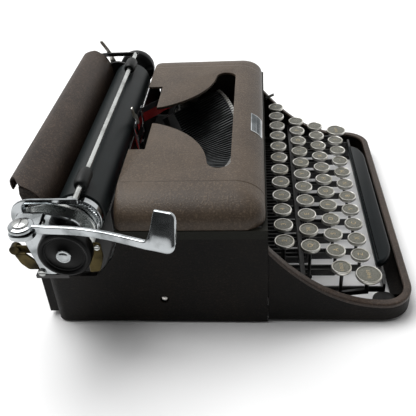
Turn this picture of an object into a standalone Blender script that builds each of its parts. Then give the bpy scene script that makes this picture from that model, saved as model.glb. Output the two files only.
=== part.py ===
"""Portable typewriter with round glass keys, a lift-up ribbon cover and a shifting carriage.

Machine axes: X to the typist's right, Y from the keys to the back, Z up from the table.
All design sizes are millimetres in machine coordinates, where Y is 0 at the number row and X is 0
on the centre line of the casing. Blender's own unit is the metre, so MM turns one into the other.
"""

import math

import bmesh
import bpy
from mathutils import Matrix, Vector

MM = 0.001

# Keyboard
KEY_PITCH = 19.05
ROW_STEP = 19.05
ROW_DROP = 8.3
STAGGER = KEY_PITCH / 4
KEY_LEFT = -99.5
KEY_TOP = 55.3
KEY_RADIUS = 7.15
KEY_THICKNESS = 3.8
KEY_TRAVEL = 9.0
ROWS = (("number_row", 12), ("upper_row", 11), ("home_row", 11), ("bottom_row", 10))
STEM_RADIUS = 1.3
LEVER_THICKNESS = 1.5
LEVER_BOTTOM = 13.5
LEVER_TOP = 19.5
FULCRUM = (92.0, 20.0)
FULCRUM_RADIUS = 1.5

# Shift, shift lock and space bar
SHIFT_RADIUS = 9.3
SHIFT_AXIS = (104.0, 12.0)
SHIFT_Y = -60.0
SHIFT_TOP = 30.4
LOCK_Y = -40.0
LOCK_TOP = 38.7
SPACE_AXIS = (80.0, 10.0)
SPACE_HALF = 86.0
SPACE_Y = (-83.0, -69.6)
SPACE_TOP = 23.5

# Casing, keyboard surround and cover
CASE_HALF = 126.5
CASE_FRONT = 12.0
CASE_BACK = 168.0
CASE_TOP = 85.0
CASE_REAR_TOP = 46.0
CASE_WALL = 3.0
CASE_BOTTOM = 1.5
BACK_PANEL_HALF = 119.0
BACK_PANEL_DEPTH = 7.0
SURROUND_HALF = 125.0
SURROUND_FRONT = -92.0
SURROUND_BOTTOM = 2.5
SURROUND_CORNER = 22.0
RIM_WIDTH = 5.5
COVER_HALF = 126.0
COVER_FRONT = 13.5
COVER_BACK = 113.0
COVER_TOP = 105.0
COVER_BASE = 85.3
COVER_WALL = 2.0

# Carriage, at the place where it stands a little to the left of the middle
PLATEN_AXIS = (133.6, 98.3)
PLATEN_RADIUS = 16.5
KNOB_RADIUS = 16.4
LEFT_KNOB_FACE = -166.6
RIGHT_KNOB_FACE = 119.1
RAIL_Y = (146.0, 152.0)
RAIL_Z = (52.0, 60.0)
LEFT_PLATE = (-136.0, -133.5)
OUTER_PLATE = (-149.0, -147.0)
RIGHT_PLATE = (89.0, 91.5)
LEVER_PIVOT = (-164.5, 155.4, 117.5)
LEVER_TAB_TOP = 138.0
LEVER_TAB_LEAN = 7.5
BAIL_PIVOT = (166.0, 106.0)
BAIL_ROD = (129.3, 120.6)
GAP = 0.3


# ---------------------------------------------------------------- scene and materials

def clear_scene():
    for obj in list(bpy.data.objects):
        bpy.data.objects.remove(obj, do_unlink=True)


def finish_material(name, colour, roughness, metallic=0.0):
    """A Principled material in the piece's own plain colour."""
    material = bpy.data.materials.new(name)
    material.use_nodes = True
    shader = material.node_tree.nodes["Principled BSDF"]
    shader.inputs["Base Color"].default_value = (*colour, 1.0)
    shader.inputs["Roughness"].default_value = roughness
    shader.inputs["Metallic"].default_value = metallic
    material.diffuse_color = (*colour, 1.0)
    return material


BROWN = (0.15, 0.12, 0.095)
DARK_BROWN = (0.05, 0.04, 0.033)
BLACK_ENAMEL = (0.012, 0.012, 0.012)
CHROME = (0.72, 0.72, 0.72)
RUBBER = (0.03, 0.036, 0.036)
KEY_FACE = (0.30, 0.29, 0.26)
STEEL = (0.42, 0.42, 0.42)


# ---------------------------------------------------------------- shapes

AXES = {"X": (1, 2, 0), "Y": (0, 2, 1), "Z": (0, 1, 2)}


def point(axis, a, b, along):
    """The 3-D point whose two cross coordinates are a and b and whose axis coordinate is along."""
    first, second, third = AXES[axis]
    place = [0.0, 0.0, 0.0]
    place[first] = a
    place[second] = b
    place[third] = along
    return Vector(place) * MM


def prism(axis, outline, low, high):
    """An outline in the plane across an axis, extruded from low to high along it."""
    shape = bmesh.new()
    base = shape.faces.new([shape.verts.new(point(axis, a, b, low)) for a, b in outline])
    moved = bmesh.ops.extrude_face_region(shape, geom=[base])["geom"]
    corners = [item for item in moved if isinstance(item, bmesh.types.BMVert)]
    shift = point(axis, 0, 0, high - low)
    bmesh.ops.translate(shape, verts=corners, vec=shift)
    bmesh.ops.recalc_face_normals(shape, faces=shape.faces)
    return shape


def box(x, y, z):
    """A block between two values on each axis."""
    return prism("Z", [(x[0], y[0]), (x[1], y[0]), (x[1], y[1]), (x[0], y[1])], z[0], z[1])


def arc(centre, radius, start, end, steps):
    """Points along an arc, angles in degrees."""
    angles = [math.radians(start + (end - start) * i / steps) for i in range(steps + 1)]
    return [(centre[0] + radius * math.cos(t), centre[1] + radius * math.sin(t)) for t in angles]


def circle(centre, radius, sides):
    return arc(centre, radius, 0, 360, sides)[:-1]


def rod(axis, centre, radius, low, high, sides=12):
    return prism(axis, circle(centre, radius, sides), low, high)


def turned(axis, centre, profile, sides):
    """A turned piece: profile is (along, radius) pairs from one end to the other."""
    shape = bmesh.new()
    rings = []
    for along, radius in profile:
        ring = [shape.verts.new(point(axis, a, b, along)) for a, b in circle(centre, radius, sides)]
        rings.append(ring)
    for near, far in zip(rings, rings[1:]):
        for i in range(sides):
            j = (i + 1) % sides
            shape.faces.new((near[i], near[j], far[j], far[i]))
    shape.faces.new(rings[0])
    shape.faces.new(rings[-1])
    bmesh.ops.recalc_face_normals(shape, faces=shape.faces)
    return shape


def mesh_of(shape, name="shape"):
    mesh = bpy.data.meshes.new(name)
    shape.to_mesh(mesh)
    shape.free()
    return mesh


def shape_of(mesh):
    shape = bmesh.new()
    shape.from_mesh(mesh)
    return shape


def fuse(added, cut=()):
    """One mesh from shapes joined by Boolean unions, less the shapes that cut it."""
    helpers = []
    base = bpy.data.objects.new("fused", mesh_of(added[0]))
    bpy.context.scene.collection.objects.link(base)
    steps = [(shape, "UNION") for shape in added[1:]] + [(shape, "DIFFERENCE") for shape in cut]
    for shape, operation in steps:
        helper = bpy.data.objects.new("helper", mesh_of(shape))
        helper.hide_render = True
        helper.display_type = "WIRE"
        bpy.context.scene.collection.objects.link(helper)
        helpers.append(helper)
        modifier = base.modifiers.new(operation, "BOOLEAN")
        modifier.operation = operation
        modifier.object = helper
    evaluated = base.evaluated_get(bpy.context.evaluated_depsgraph_get())
    mesh = bpy.data.meshes.new_from_object(evaluated)
    for helper in [base] + helpers:
        bpy.data.objects.remove(helper, do_unlink=True)
    return mesh


def place(name, mesh, material, pivot=(0, 0, 0), offset=(0, 0, 0)):
    """An object whose origin is at pivot, in machine millimetres, moved as a whole by offset."""
    if not mesh.get("placed"):
        mesh.transform(Matrix.Translation(-Vector(pivot) * MM))
        mesh.materials.clear()
        mesh.materials.append(material)
        mesh.shade_smooth()
        mesh.set_sharp_from_angle(angle=math.radians(35))
        mesh["placed"] = True
    obj = bpy.data.objects.new(name, mesh)
    obj.location = (Vector(pivot) + Vector(offset)) * MM
    obj.parent = bpy.data.objects["machine"]
    bpy.context.scene.collection.objects.link(obj)
    return obj


# ---------------------------------------------------------------- casing and surround

def casing():
    """Rear casing: two side walls and a back with rounded corners, low where the carriage crosses."""
    back = (CASE_HALF - 8, CASE_BACK - 8)

    def outline(inset):
        half = CASE_HALF - inset
        right = arc(back, 8 - inset, 0, 90, 5)
        left = [(-x, y) for x, y in reversed(right)]
        return [(half, CASE_FRONT)] + right + left + [(-half, CASE_FRONT)]

    shell = prism("Z", outline(0), CASE_BOTTOM, CASE_TOP)
    inner = [(x, y if y > CASE_FRONT else CASE_FRONT - 5) for x, y in outline(CASE_WALL)]
    hollow = prism("Z", inner, CASE_BOTTOM - 5, CASE_TOP + 5)
    notch_side = [
        (CASE_BACK + 20, CASE_REAR_TOP), (131, CASE_REAR_TOP), (125.7, 51.6), (117.7, 62.5),
        (113.5, 74), (113, CASE_TOP + 5), (CASE_BACK + 20, CASE_TOP + 5),
    ]
    notch = prism("X", notch_side, -CASE_HALF - 5, CASE_HALF + 5)
    bar = box((-CASE_HALF + 1, CASE_HALF - 1), (CASE_FRONT + 0.2, CASE_FRONT + 4), (78.0, CASE_TOP - 0.2))
    panel = box(
        (-BACK_PANEL_HALF, BACK_PANEL_HALF), (CASE_BACK - 1.5, CASE_BACK + BACK_PANEL_DEPTH), (4, 44),
    )
    recess = box(
        (-BACK_PANEL_HALF + 3, BACK_PANEL_HALF - 3), (CASE_BACK - 6, CASE_BACK + BACK_PANEL_DEPTH - 3), (0, 41),
    )
    hole = rod("X", (85.5, 23.4), 3.2, -CASE_HALF - 5, -CASE_HALF + 10, 12)
    walls = shape_of(fuse([shell], [hollow, notch]))
    feet = [bar]
    for side in (-1, 1):
        feet.append(box(sorted((side * 100, side * (CASE_HALF - 1))), (141, 159), (CASE_BOTTOM + 0.5, 4)))
        feet.append(rod("Z", (side * 108, 150), 8.5, 0, 4.5, 16))
    body = shape_of(fuse([walls, panel], [recess, hole]))
    mesh = fuse([body] + feet)
    place("rear_casing", mesh, finish_material("casing_enamel", DARK_BROWN, 0.55))


def rim_height(y):
    """Top of the keyboard surround: high at the casing, falling in a curve to the low front bar."""
    low, rise, reach = 17.5, 50.0, 84.0
    t = max((y + reach - CASE_FRONT) / reach, 0.0)
    return low + rise * t ** 2.1


def surround_path():
    """Stations along the surround, as (x, y, outward x, outward y), right end to left end."""
    half = SURROUND_HALF
    side = [CASE_FRONT - GAP, 7, 2, -4, -10, -17, -25, -34, -45, -57, SURROUND_FRONT + SURROUND_CORNER]
    stations = [(half, y, 1.0, 0.0) for y in side]
    centre = (half - SURROUND_CORNER, SURROUND_FRONT + SURROUND_CORNER)
    for i in range(1, 7):
        turn = math.radians(-15 * i)
        out = (math.cos(turn), math.sin(turn))
        stations.append((centre[0] + SURROUND_CORNER * out[0], centre[1] + SURROUND_CORNER * out[1], *out))
    return stations + [(-x, y, -nx, ny) for x, y, nx, ny in reversed(stations)]


def surround():
    """Keyboard surround: a wall with an inward rim, bent round the keys in one U."""
    shape = bmesh.new()
    wall, rim, thick = 3.0, RIM_WIDTH, 2.5
    rings = []
    for x, y, nx, ny in surround_path():
        top = rim_height(y)
        section = [
            (0, SURROUND_BOTTOM), (0, top - 1.5), (1.5, top), (rim, top),
            (rim, top - thick), (wall, top - thick), (wall, SURROUND_BOTTOM),
        ]
        ring = [shape.verts.new(Vector((x - nx * d, y - ny * d, z)) * MM) for d, z in section]
        rings.append(ring)
    count = len(rings[0])
    for near, far in zip(rings, rings[1:]):
        for i in range(count):
            j = (i + 1) % count
            shape.faces.new((near[i], near[j], far[j], far[i]))
    shape.faces.new(rings[0])
    shape.faces.new(rings[-1])
    bmesh.ops.triangulate(shape, faces=shape.faces)
    bmesh.ops.recalc_face_normals(shape, faces=shape.faces)
    feet = []
    for side in (-1, 1):
        feet.append(rod("Z", (side * 106, -74), 8.5, 0, 3.2, 16))
        web = [(side * 100, -76), (side * 112, -66), (side * 123.4, -66), (side * 123.4, -72), (side * 110, -88), (side * 100, -90.4)]
        feet.append(prism("Z", web, 1.0, 3.0))
    mesh = fuse([shape] + feet)
    place("keyboard_surround", mesh, finish_material("surround_enamel", BROWN, 0.5))


# ---------------------------------------------------------------- ribbon cover

def cover_block(inset, base, back):
    """Solid dome of the cover: rings of the plan outline, each further in and higher."""
    half = COVER_HALF - inset
    front = COVER_FRONT + inset
    top = COVER_TOP - inset
    skirt = 4.0
    fillet, rise = 26.0, top - COVER_BASE - skirt
    depths = [0.0, 0.0] + [fillet * (1 - math.cos(math.radians(a))) for a in (15, 30, 45, 60, 75, 90)]
    heights = [base, COVER_BASE + skirt]
    heights += [COVER_BASE + skirt + rise * math.sin(math.radians(a)) for a in (15, 30, 45, 60, 75, 90)]
    shape = bmesh.new()
    rings = []
    for depth, height in zip(depths, heights):
        radius = max(14.0 - 0.45 * depth, 2.0)
        corner = arc((half - depth - radius, front + depth + radius), radius, 0, -90, 5)
        right = [(half - depth, back)] + corner
        ring = right + [(-x, y) for x, y in reversed(right)]
        rings.append([shape.verts.new(Vector((x, y, height)) * MM) for x, y in ring])
    for low, high in zip(rings, rings[1:]):
        for i in range(len(low) - 1):
            shape.faces.new((low[i], low[i + 1], high[i + 1], high[i]))
    shape.faces.new(rings[0])
    shape.faces.new(rings[-1])
    shape.faces.new([ring[0] for ring in rings] + [ring[-1] for ring in reversed(rings)])
    bmesh.ops.recalc_face_normals(shape, faces=shape.faces)
    return shape


def fan_outline():
    """Half of the fan opening over the typebars, from the apex round to the front edge, mirrored."""
    right = [(0, 116), (13.5, 104)]
    right += arc((80, 125), 71.3, 202, 262, 8)
    right += arc((72.5, 45.6), 8.5, 88, -82, 6)
    return right + [(-x, y) for x, y in reversed(right)][:-1]


def top_cover():
    """Ribbon cover: a domed shell with a fan-shaped opening and a wide notch at the back."""
    outer = cover_block(0.0, COVER_BASE, COVER_BACK)
    inner = cover_block(COVER_WALL, COVER_BASE - 5, COVER_BACK + 5)
    notch = box((-54, 54), (100.8, COVER_BACK + 5), (COVER_BASE - 5, COVER_TOP + 5))
    fan = prism("Z", fan_outline(), COVER_BASE - 5, COVER_TOP + 5)
    mesh = fuse([outer], [inner, notch, fan])
    place("ribbon_cover", mesh, finish_material("cover_enamel", BROWN, 0.55), (0, COVER_FRONT, COVER_BASE))


# ---------------------------------------------------------------- frame and type basket

def mechanism_frame():
    """Inner frame: side plates, comb bar, fulcrum rod, cross ties, spool shelves and carriage rail."""
    side = [
        (-16, 22), (54, 22), (62, 6), (162, 6), (162, 44), (110, 44), (104, 59.5),
        (58, 59.5), (52, 29), (-16, 29),
    ]
    inner, outer = 119.2, 121.5
    reach = inner + 1.2
    added = [box((-reach, reach), (-15.5, -12), (22.5, 28.5))]
    added += [prism("X", side, -outer, -inner), prism("X", side, inner, outer)]
    added.append(rod("X", FULCRUM, FULCRUM_RADIUS, -reach, reach, 8))
    added.append(box((-reach, reach), (74, 86), (3.5, 7)))
    added.append(box((-reach, reach), (141, 157), (5, 9)))
    added.append(box((-reach, reach), (80, 96), (44, 52)))
    added.append(box((-reach, reach), RAIL_Y, RAIL_Z))
    for x in (-100, 0, 100):
        added.append(box((x - 4, x + 4), (147, 151), (8, 53)))
    for low, high in ((-108.6, -107.0), (107.0, 108.6)):
        added.append(box((low, high), (76, 84), (5.5, 14)))
    for side_of in (-1, 1):
        low, high = sorted((side_of * 72, side_of * reach))
        added.append(box((low, high), (58.5, 100), (57, 59.2)))
        added.append(box((side_of * 96 - 3, side_of * 96 + 3), (82, 94), (51, 58)))
    mesh = fuse(added)
    place("mechanism_frame", mesh, finish_material("frame_enamel", BLACK_ENAMEL, 0.4))


def typebar_ends(turn):
    """Pivot and head of a typebar at rest, for its angle round the segment."""
    s, c = math.sin(turn), math.cos(turn)
    pivot = (38 * s, 100 - 19 * c, 96 - 33 * c)
    head = (78 * s, 32 + 30 * (1 - c), 82 + 11 * (1 - c))
    return pivot, head


def type_basket():
    """Segment and typebars at rest, as one ribbed fan on a pedestal."""
    shape = bmesh.new()
    ribs, limit, thick, rib = 23, math.radians(72), 4.0, 1.6
    steps = 2 * ribs
    rows = []
    for i in range(steps + 1):
        pivot, head = typebar_ends(-limit + 2 * limit * i / steps)
        lift = rib if i % 2 else 0.0
        top = [Vector(p) + Vector((0, 0, lift)) for p in (pivot, head)]
        bottom = [Vector(p) - Vector((0, 0, thick)) for p in (head, pivot)]
        rows.append([shape.verts.new(v * MM) for v in top + bottom])
    for near, far in zip(rows, rows[1:]):
        for i in range(4):
            j = (i + 1) % 4
            shape.faces.new((near[i], near[j], far[j], far[i]))
    shape.faces.new(rows[0])
    shape.faces.new(rows[-1])
    bmesh.ops.triangulate(shape, faces=shape.faces)
    bmesh.ops.recalc_face_normals(shape, faces=shape.faces)
    pedestal = box((-16, 16), (81, 95), (52.3, 62))
    mesh = fuse([shape, pedestal])
    place("type_basket", mesh, finish_material("typebar_steel", (0.03, 0.03, 0.03), 0.35, 0.6))


# ---------------------------------------------------------------- keys

def key_lever_outline(front):
    """Side outline of a key lever: a flat strip with a fork at its back that grips the fulcrum rod."""
    fork = arc(FULCRUM, FULCRUM_RADIUS + 0.4, -90, -270, 4)
    return [
        (front, LEVER_BOTTOM), (95, LEVER_BOTTOM), (95, fork[0][1]), *fork, (95, fork[-1][1]),
        (95, 25), (86, 25), (78, LEVER_TOP), (front, LEVER_TOP),
    ]


def key_cap(x, y, top, radius, sides=16):
    """Round key top with a slightly narrower underside."""
    profile = [
        (top - KEY_THICKNESS, radius - 1.2), (top - KEY_THICKNESS + 1.2, radius),
        (top - 0.5, radius), (top, radius - 0.5),
    ]
    return turned("Z", (x, y), profile, sides)


def key_mesh(row):
    """One key of a row: cap, stem and lever in one piece."""
    y = -ROW_STEP * row
    top = KEY_TOP - ROW_DROP * row
    half = LEVER_THICKNESS / 2
    lever = prism("X", key_lever_outline(y - 2.4), -half, half)
    stem = rod("Z", (0, y), STEM_RADIUS, LEVER_TOP - 2, top - KEY_THICKNESS + 1, 8)
    return fuse([lever, stem, key_cap(0, y, top, KEY_RADIUS)])


def keys():
    face = finish_material("key_face", KEY_FACE, 0.3)
    for row, (name, count) in enumerate(ROWS):
        mesh = key_mesh(row)
        for i in range(count):
            x = KEY_LEFT + STAGGER * row + KEY_PITCH * i
            place(f"{name}_key_{i + 1:02d}", mesh, face, (0, *FULCRUM), (x, 0, 0))


def shift_frame():
    """Both shift keys and the shift lock on one rocking shaft, so that they move together."""
    rear = [(SHIFT_AXIS[0] + 3, 8.5), (SHIFT_AXIS[0] + 3, 15)]
    left = [*rear, (60, 15), (50, 19), (-42, 19), (-42, 13), (50, 13), (60, 9)]
    right = [*rear, (60, 15), (50, 19), (-61.5, 19), (-61.5, 13), (50, 13), (60, 9)]
    added = [prism("X", left, -114, -112), rod("X", SHIFT_AXIS, 3, -118.5, 118.5, 12), prism("X", right, 113, 115)]
    link = [(-114, -39), (-112, -39), (-108, -60.5), (-111, -60.5)]
    added.append(prism("Z", link, 14.5, 18.5))
    added.append(rod("Z", (-109.6, -59), STEM_RADIUS + 0.2, 15.5, SHIFT_TOP - 3, 8))
    added.append(rod("Z", (113.0, SHIFT_Y), STEM_RADIUS + 0.2, 15.5, SHIFT_TOP - 3, 8))
    added.append(rod("Z", (-112.6, LOCK_Y), STEM_RADIUS, 17, LOCK_TOP - 3, 8))
    added.append(key_cap(-107, SHIFT_Y, SHIFT_TOP, SHIFT_RADIUS, 20))
    added.append(key_cap(106, SHIFT_Y, SHIFT_TOP, SHIFT_RADIUS, 20))
    added.append(key_cap(-108.5, LOCK_Y, LOCK_TOP, KEY_RADIUS))
    mesh = fuse(added)
    place("shift_frame", mesh, finish_material("shift_face", KEY_FACE, 0.3), (0, *SHIFT_AXIS))


def space_bar():
    """Space bar on two arms that turn on a cross shaft near the fulcrum."""
    low, high = SPACE_Y
    end = arc((SPACE_HALF - 8, low + 8), 8, -90, 0, 4) + [(SPACE_HALF, high - 2), (SPACE_HALF - 2, high)]
    outline = end + [(-x, y) for x, y in reversed(end)]
    arm = [(84, 7.5), (84, 13), (60, 13), (50, 16), (-73, 16), (-73, 11), (50, 11), (60, 7.5)]
    added = [prism("Z", outline, SPACE_TOP - 6, SPACE_TOP)]
    for x in (-104.8, 105.3):
        added.append(prism("X", arm, x - 0.75, x + 0.75))
        inner, outer = sorted((math.copysign(70, x), x + math.copysign(0.75, x)))
        added.append(box((inner, outer), (-73.5, -71.5), (11.5, SPACE_TOP - 4)))
    added.append(rod("X", SPACE_AXIS, 1.5, -106.0, 106.0, 8))
    mesh = fuse(added)
    place("space_bar", mesh, finish_material("space_bar_plastic", RUBBER, 0.35), (0, *SPACE_AXIS))


# ---------------------------------------------------------------- carriage

def carriage_truck():
    """Inverted channel that rides along the fixed rail."""
    y0, y1 = RAIL_Y
    z1 = RAIL_Z[1]
    outline = [
        (y0 - 3, 54), (y0 - 3, z1 + 3.5), (y1 + 3, z1 + 3.5), (y1 + 3, 54), (y1 + 0.5, 54),
        (y1 + 0.5, z1 + 0.5), (y0 - 0.5, z1 + 0.5), (y0 - 0.5, 54),
    ]
    mesh = fuse([prism("X", outline, -132, 86)])
    place("carriage_truck", mesh, finish_material("truck_steel", STEEL, 0.35, 0.9), (0, RAIL_Y[0], z1))


def platen_frame():
    """Carriage frame: base plate, end plates with the platen's bearings, and the return lever's shelf."""
    base = box((OUTER_PLATE[0], RIGHT_PLATE[1]), (141, 163), (64.5, 67.5))
    plate = [
        (141, 64.5), (163, 64.5), (169, 80), (170, 103), (163, 112), (146, 115.5),
        (128, 109), (121.5, 98), (123, 84), (134, 76),
    ]
    outer = [
        (141, 64.5), (160, 64.5), (165, 90), (166, 112), (164, 117), (146, 117),
        (128, 110.5), (121.5, 98), (122, 80), (128, 72),
    ]
    shelf = box((-172, OUTER_PLATE[1]), (147, 163), (113.5, 117))
    back = box((LEFT_PLATE[0], RIGHT_PLATE[1]), (160, 163), (66, 84))
    added = [base, prism("X", plate, *LEFT_PLATE), prism("X", outer, *OUTER_PLATE), prism("X", plate, *RIGHT_PLATE)]
    added += [shelf, back]
    bearing = rod("X", PLATEN_AXIS, 3.6, OUTER_PLATE[0] - 5, RIGHT_PLATE[1] + 5, 16)
    mesh = fuse(added, [bearing])
    place("carriage_frame", mesh, finish_material("carriage_chrome", CHROME, 0.2, 1.0), (0, RAIL_Y[0], RAIL_Z[1]))


def platen():
    """Platen roller with its ratchet end, shaft and both knobs, turned as one piece."""
    shaft = 3.2
    profile = [
        (LEFT_KNOB_FACE, KNOB_RADIUS - 2), (LEFT_KNOB_FACE + 2, KNOB_RADIUS), (-158, KNOB_RADIUS),
        (-154, 12), (-150.5, 9), (-150.5, shaft), (-132, shaft), (-132, 14.8), (-125, 14.8),
        (-125, PLATEN_RADIUS), (86, PLATEN_RADIUS), (86, 13), (88, 13), (88, shaft), (97, shaft),
        (97, 9), (101, 12), (105, KNOB_RADIUS), (RIGHT_KNOB_FACE - 2, KNOB_RADIUS), (RIGHT_KNOB_FACE, KNOB_RADIUS - 2),
    ]
    mesh = fuse([turned("X", PLATEN_AXIS, profile, 32)])
    place("platen", mesh, finish_material("platen_rubber", RUBBER, 0.55), (0, *PLATEN_AXIS))


def strip(line, width):
    """Plan outline of a strip of one width along a line of points."""
    sides = ([], [])
    for i, place_on in enumerate(line):
        before, after = line[max(i - 1, 0)], line[min(i + 1, len(line) - 1)]
        along = Vector((after[0] - before[0], after[1] - before[1])).normalized()
        for side, points in zip((-1, 1), sides):
            points.append((place_on[0] - side * along.y * width / 2, place_on[1] + side * along.x * width / 2))
    return sides[0] + sides[1][::-1]


def return_lever():
    """Line-space and carriage-return lever: a bar on edge over the left knob, ending in a finger tab that leans inwards."""
    x, y, z = LEVER_PIVOT
    line = [(x, y - 2), (x - 1.5, 138), (x - 3, 122), (x - 6.5, 106), (x - 11.5, 91), (x - 17, 75.5), (x - 21, 62.5)]
    boss = rod("Z", (x, y), 7.5, z + GAP, z + 3.0, 20)
    screw = rod("Z", (x, y), 4.2, z + 2, z + 4.2, 14)
    bar = prism("Z", strip(line, 3.4), z - 2.1, z + 3.8)
    foot, top, lean = x - 20.2, LEVER_TAB_TOP, LEVER_TAB_LEAN
    side = [(foot - 1.5, z - 1.8), (foot + 1.5, z - 1.8), (foot + 1.5 + lean, top), (foot - 1.5 + lean, top)]
    tab = prism("Y", side, 63.2, 75.2)
    cut_under = rod("Z", (x, y), 12, z - 5, z + GAP, 20)
    mesh = fuse([bar, boss, screw, tab], [cut_under])
    place("return_lever", mesh, finish_material("lever_chrome", CHROME, 0.12, 1.0), LEVER_PIVOT)


def paper_table():
    """Curved sheet behind the platen that the paper leans on, with its top edge rolled back."""
    front = [
        (151.4, 84), (151.6, 104), (153, 114), (156.5, 120.5), (162, 125), (168.5, 127.8),
        (172.5, 126.5), (174, 121.5),
    ]
    across = [
        (1.5, 0), (1.5, 0), (1.4, -0.6), (1.1, -1.0), (0.8, -1.3), (0, -1.6), (-1.2, -1.2), (-1.5, 0),
    ]
    back = [(y + dy, z + dz) for (y, z), (dy, dz) in zip(front, across)]
    outline = front + back[::-1]
    sheet = prism("X", outline, LEFT_PLATE[1] + GAP, RIGHT_PLATE[0] - GAP)
    cuts = []
    for x, side in ((LEFT_PLATE[1], 1), (RIGHT_PLATE[0], -1)):
        wedge = [(x - side * 2, 119), (x + side * 8.5, 129.5), (x - side * 2, 129.5)]
        cuts.append(prism("Y", wedge, 145, 180))
    foot = box((LEFT_PLATE[1] + 6, RIGHT_PLATE[0] - 6), (152.2, 159.6), (84.4, 86.4))
    mesh = fuse([sheet, foot], cuts)
    place("paper_table", mesh, finish_material("paper_table_enamel", DARK_BROWN, 0.5), (0, RAIL_Y[0], RAIL_Z[1]))


def paper_bail():
    """Paper bail: a rod with two rollers on arms that lift it off the platen."""
    strip = [
        (BAIL_ROD[0] - 2.5, 118.8), (BAIL_ROD[0] - 2.5, 122.4), (161, 122.4), (168.5, 118.5),
        (171.5, 110), (170.5, 102.5), (163, 102.5), (162.5, 112), (158, 118.8),
    ]
    rollers = [rod("X", BAIL_ROD, 4.8, x - 9, x + 9, 14) for x in (-116.7, 66.0)]
    added = [prism("X", strip, -142.5, -140.5), rod("X", BAIL_ROD, 1.8, -142.0, 93.2, 10), *rollers]
    added.append(prism("X", strip, 92.2, 93.7))
    mesh = fuse(added)
    place("paper_bail", mesh, finish_material("bail_chrome", CHROME, 0.15, 1.0), (0, *BAIL_PIVOT))


def paper_release_lever():
    """Paper release: a bent chrome lever on a stud outside the right end plate."""
    arm = [
        (146.6, 107), (148.5, 104.6), (151.5, 104.6), (153.4, 107), (155.6, 122), (161.4, 131.6),
        (160.8, 133.4), (159, 133.2), (152.6, 123.6),
    ]
    stud = rod("X", (150, 108), 2.4, RIGHT_PLATE[1] + GAP, 96.2, 12)
    mesh = fuse([prism("X", arm, 94.2, 95.8), stud])
    place("paper_release_lever", mesh, finish_material("release_chrome", CHROME, 0.15, 1.0), (94, 150, 108))


def ribbon_spools():
    """A flanged spool on each side, on an upright spindle under the cover."""
    steel = finish_material("spool_steel", STEEL, 0.3, 1.0)
    profile = [(60.0, 4), (60.0, 20), (61.2, 20), (61.2, 9), (73.0, 9), (73.0, 20), (74.2, 20), (74.2, 4), (78, 4)]
    for name, x in (("left", -96.0), ("right", 96.0)):
        mesh = fuse([turned("Z", (x, 78), profile, 20)])
        place(f"ribbon_spool_{name}", mesh, steel, (x, 78, 60))


def centre_on_base(machine):
    """Moves the whole machine so that the origin is under the middle of its box, on the table."""
    bpy.context.view_layer.update()
    corners = [obj.matrix_world @ Vector(c) for obj in bpy.data.objects if obj.type == "MESH" for c in obj.bound_box]
    low = Vector([min(c[i] for c in corners) for i in range(3)])
    high = Vector([max(c[i] for c in corners) for i in range(3)])
    middle = (low + high) / 2
    machine.location = (-middle.x, -middle.y, -low.z)
    print("machine origin moved by", [round(v / MM, 4) for v in machine.location])
    print("size", [round(v / MM, 2) for v in high - low])


def main():
    clear_scene()
    machine = bpy.data.objects.new("machine", None)
    bpy.context.scene.collection.objects.link(machine)
    casing()
    surround()
    top_cover()
    mechanism_frame()
    type_basket()
    keys()
    shift_frame()
    space_bar()
    carriage_truck()
    platen_frame()
    platen()
    return_lever()
    paper_table()
    paper_bail()
    paper_release_lever()
    ribbon_spools()
    centre_on_base(machine)


main()
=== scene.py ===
# %% [markdown]
# # A portable typewriter, one surface at a time
#
# The machine is already there as a fixed frame: the CAD model gives every size and every moving body.
# This lesson dresses it. Each visible part is worked out as a surface with numpy, in millimetres on the
# machine's own axes: X to the typist's right, Y from the keys to the back, Z up from the table.
# We start with the frame itself, because every place below is read from it.

import math

import bmesh
import bpy
import numpy as np
from mathutils import Matrix, Vector


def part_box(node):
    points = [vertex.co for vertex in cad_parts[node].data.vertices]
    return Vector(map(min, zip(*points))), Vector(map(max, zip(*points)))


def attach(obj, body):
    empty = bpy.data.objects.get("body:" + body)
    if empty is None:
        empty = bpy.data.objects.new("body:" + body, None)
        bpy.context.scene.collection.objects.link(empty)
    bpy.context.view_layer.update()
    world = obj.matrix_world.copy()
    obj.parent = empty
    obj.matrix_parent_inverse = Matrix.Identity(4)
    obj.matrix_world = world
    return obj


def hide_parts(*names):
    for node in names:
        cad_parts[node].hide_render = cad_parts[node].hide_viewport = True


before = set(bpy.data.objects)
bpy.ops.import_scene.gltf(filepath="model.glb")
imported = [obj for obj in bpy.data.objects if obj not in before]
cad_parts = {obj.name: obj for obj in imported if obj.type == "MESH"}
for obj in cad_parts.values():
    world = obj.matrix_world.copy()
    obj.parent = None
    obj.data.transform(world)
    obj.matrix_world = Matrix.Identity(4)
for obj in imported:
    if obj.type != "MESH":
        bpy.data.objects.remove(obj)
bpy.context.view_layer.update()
case_low, case_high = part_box("rear_casing")
ORIGIN = np.array([(case_low.x + case_high.x) / 2, case_low.y - 0.012, 0.0])


def place(points):
    """Machine millimetres to frame metres: a thousandth of each, plus where the machine's zero stands."""
    return np.asarray(points, float) / 1000.0 + ORIGIN


def machine_box(node):
    """A CAD node's lowest and highest corner in machine millimetres."""
    return [(np.array(corner) - ORIGIN) * 1000.0 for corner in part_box(node)]


casing_span = [corner.round(1) for corner in machine_box("rear_casing")]
print("machine zero stands at", ORIGIN.round(5), "and the casing spans", casing_span)

# %% [markdown]
# ## Camera
#
# The picture is taken from the typist's left, high up, with the keys to the right. A camera could be aimed
# with a Track To constraint, but a tilt of the horizon needs a roll as well, so we write its axes directly:
# where it looks, then level and upright, then both of those turned by the roll.

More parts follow.
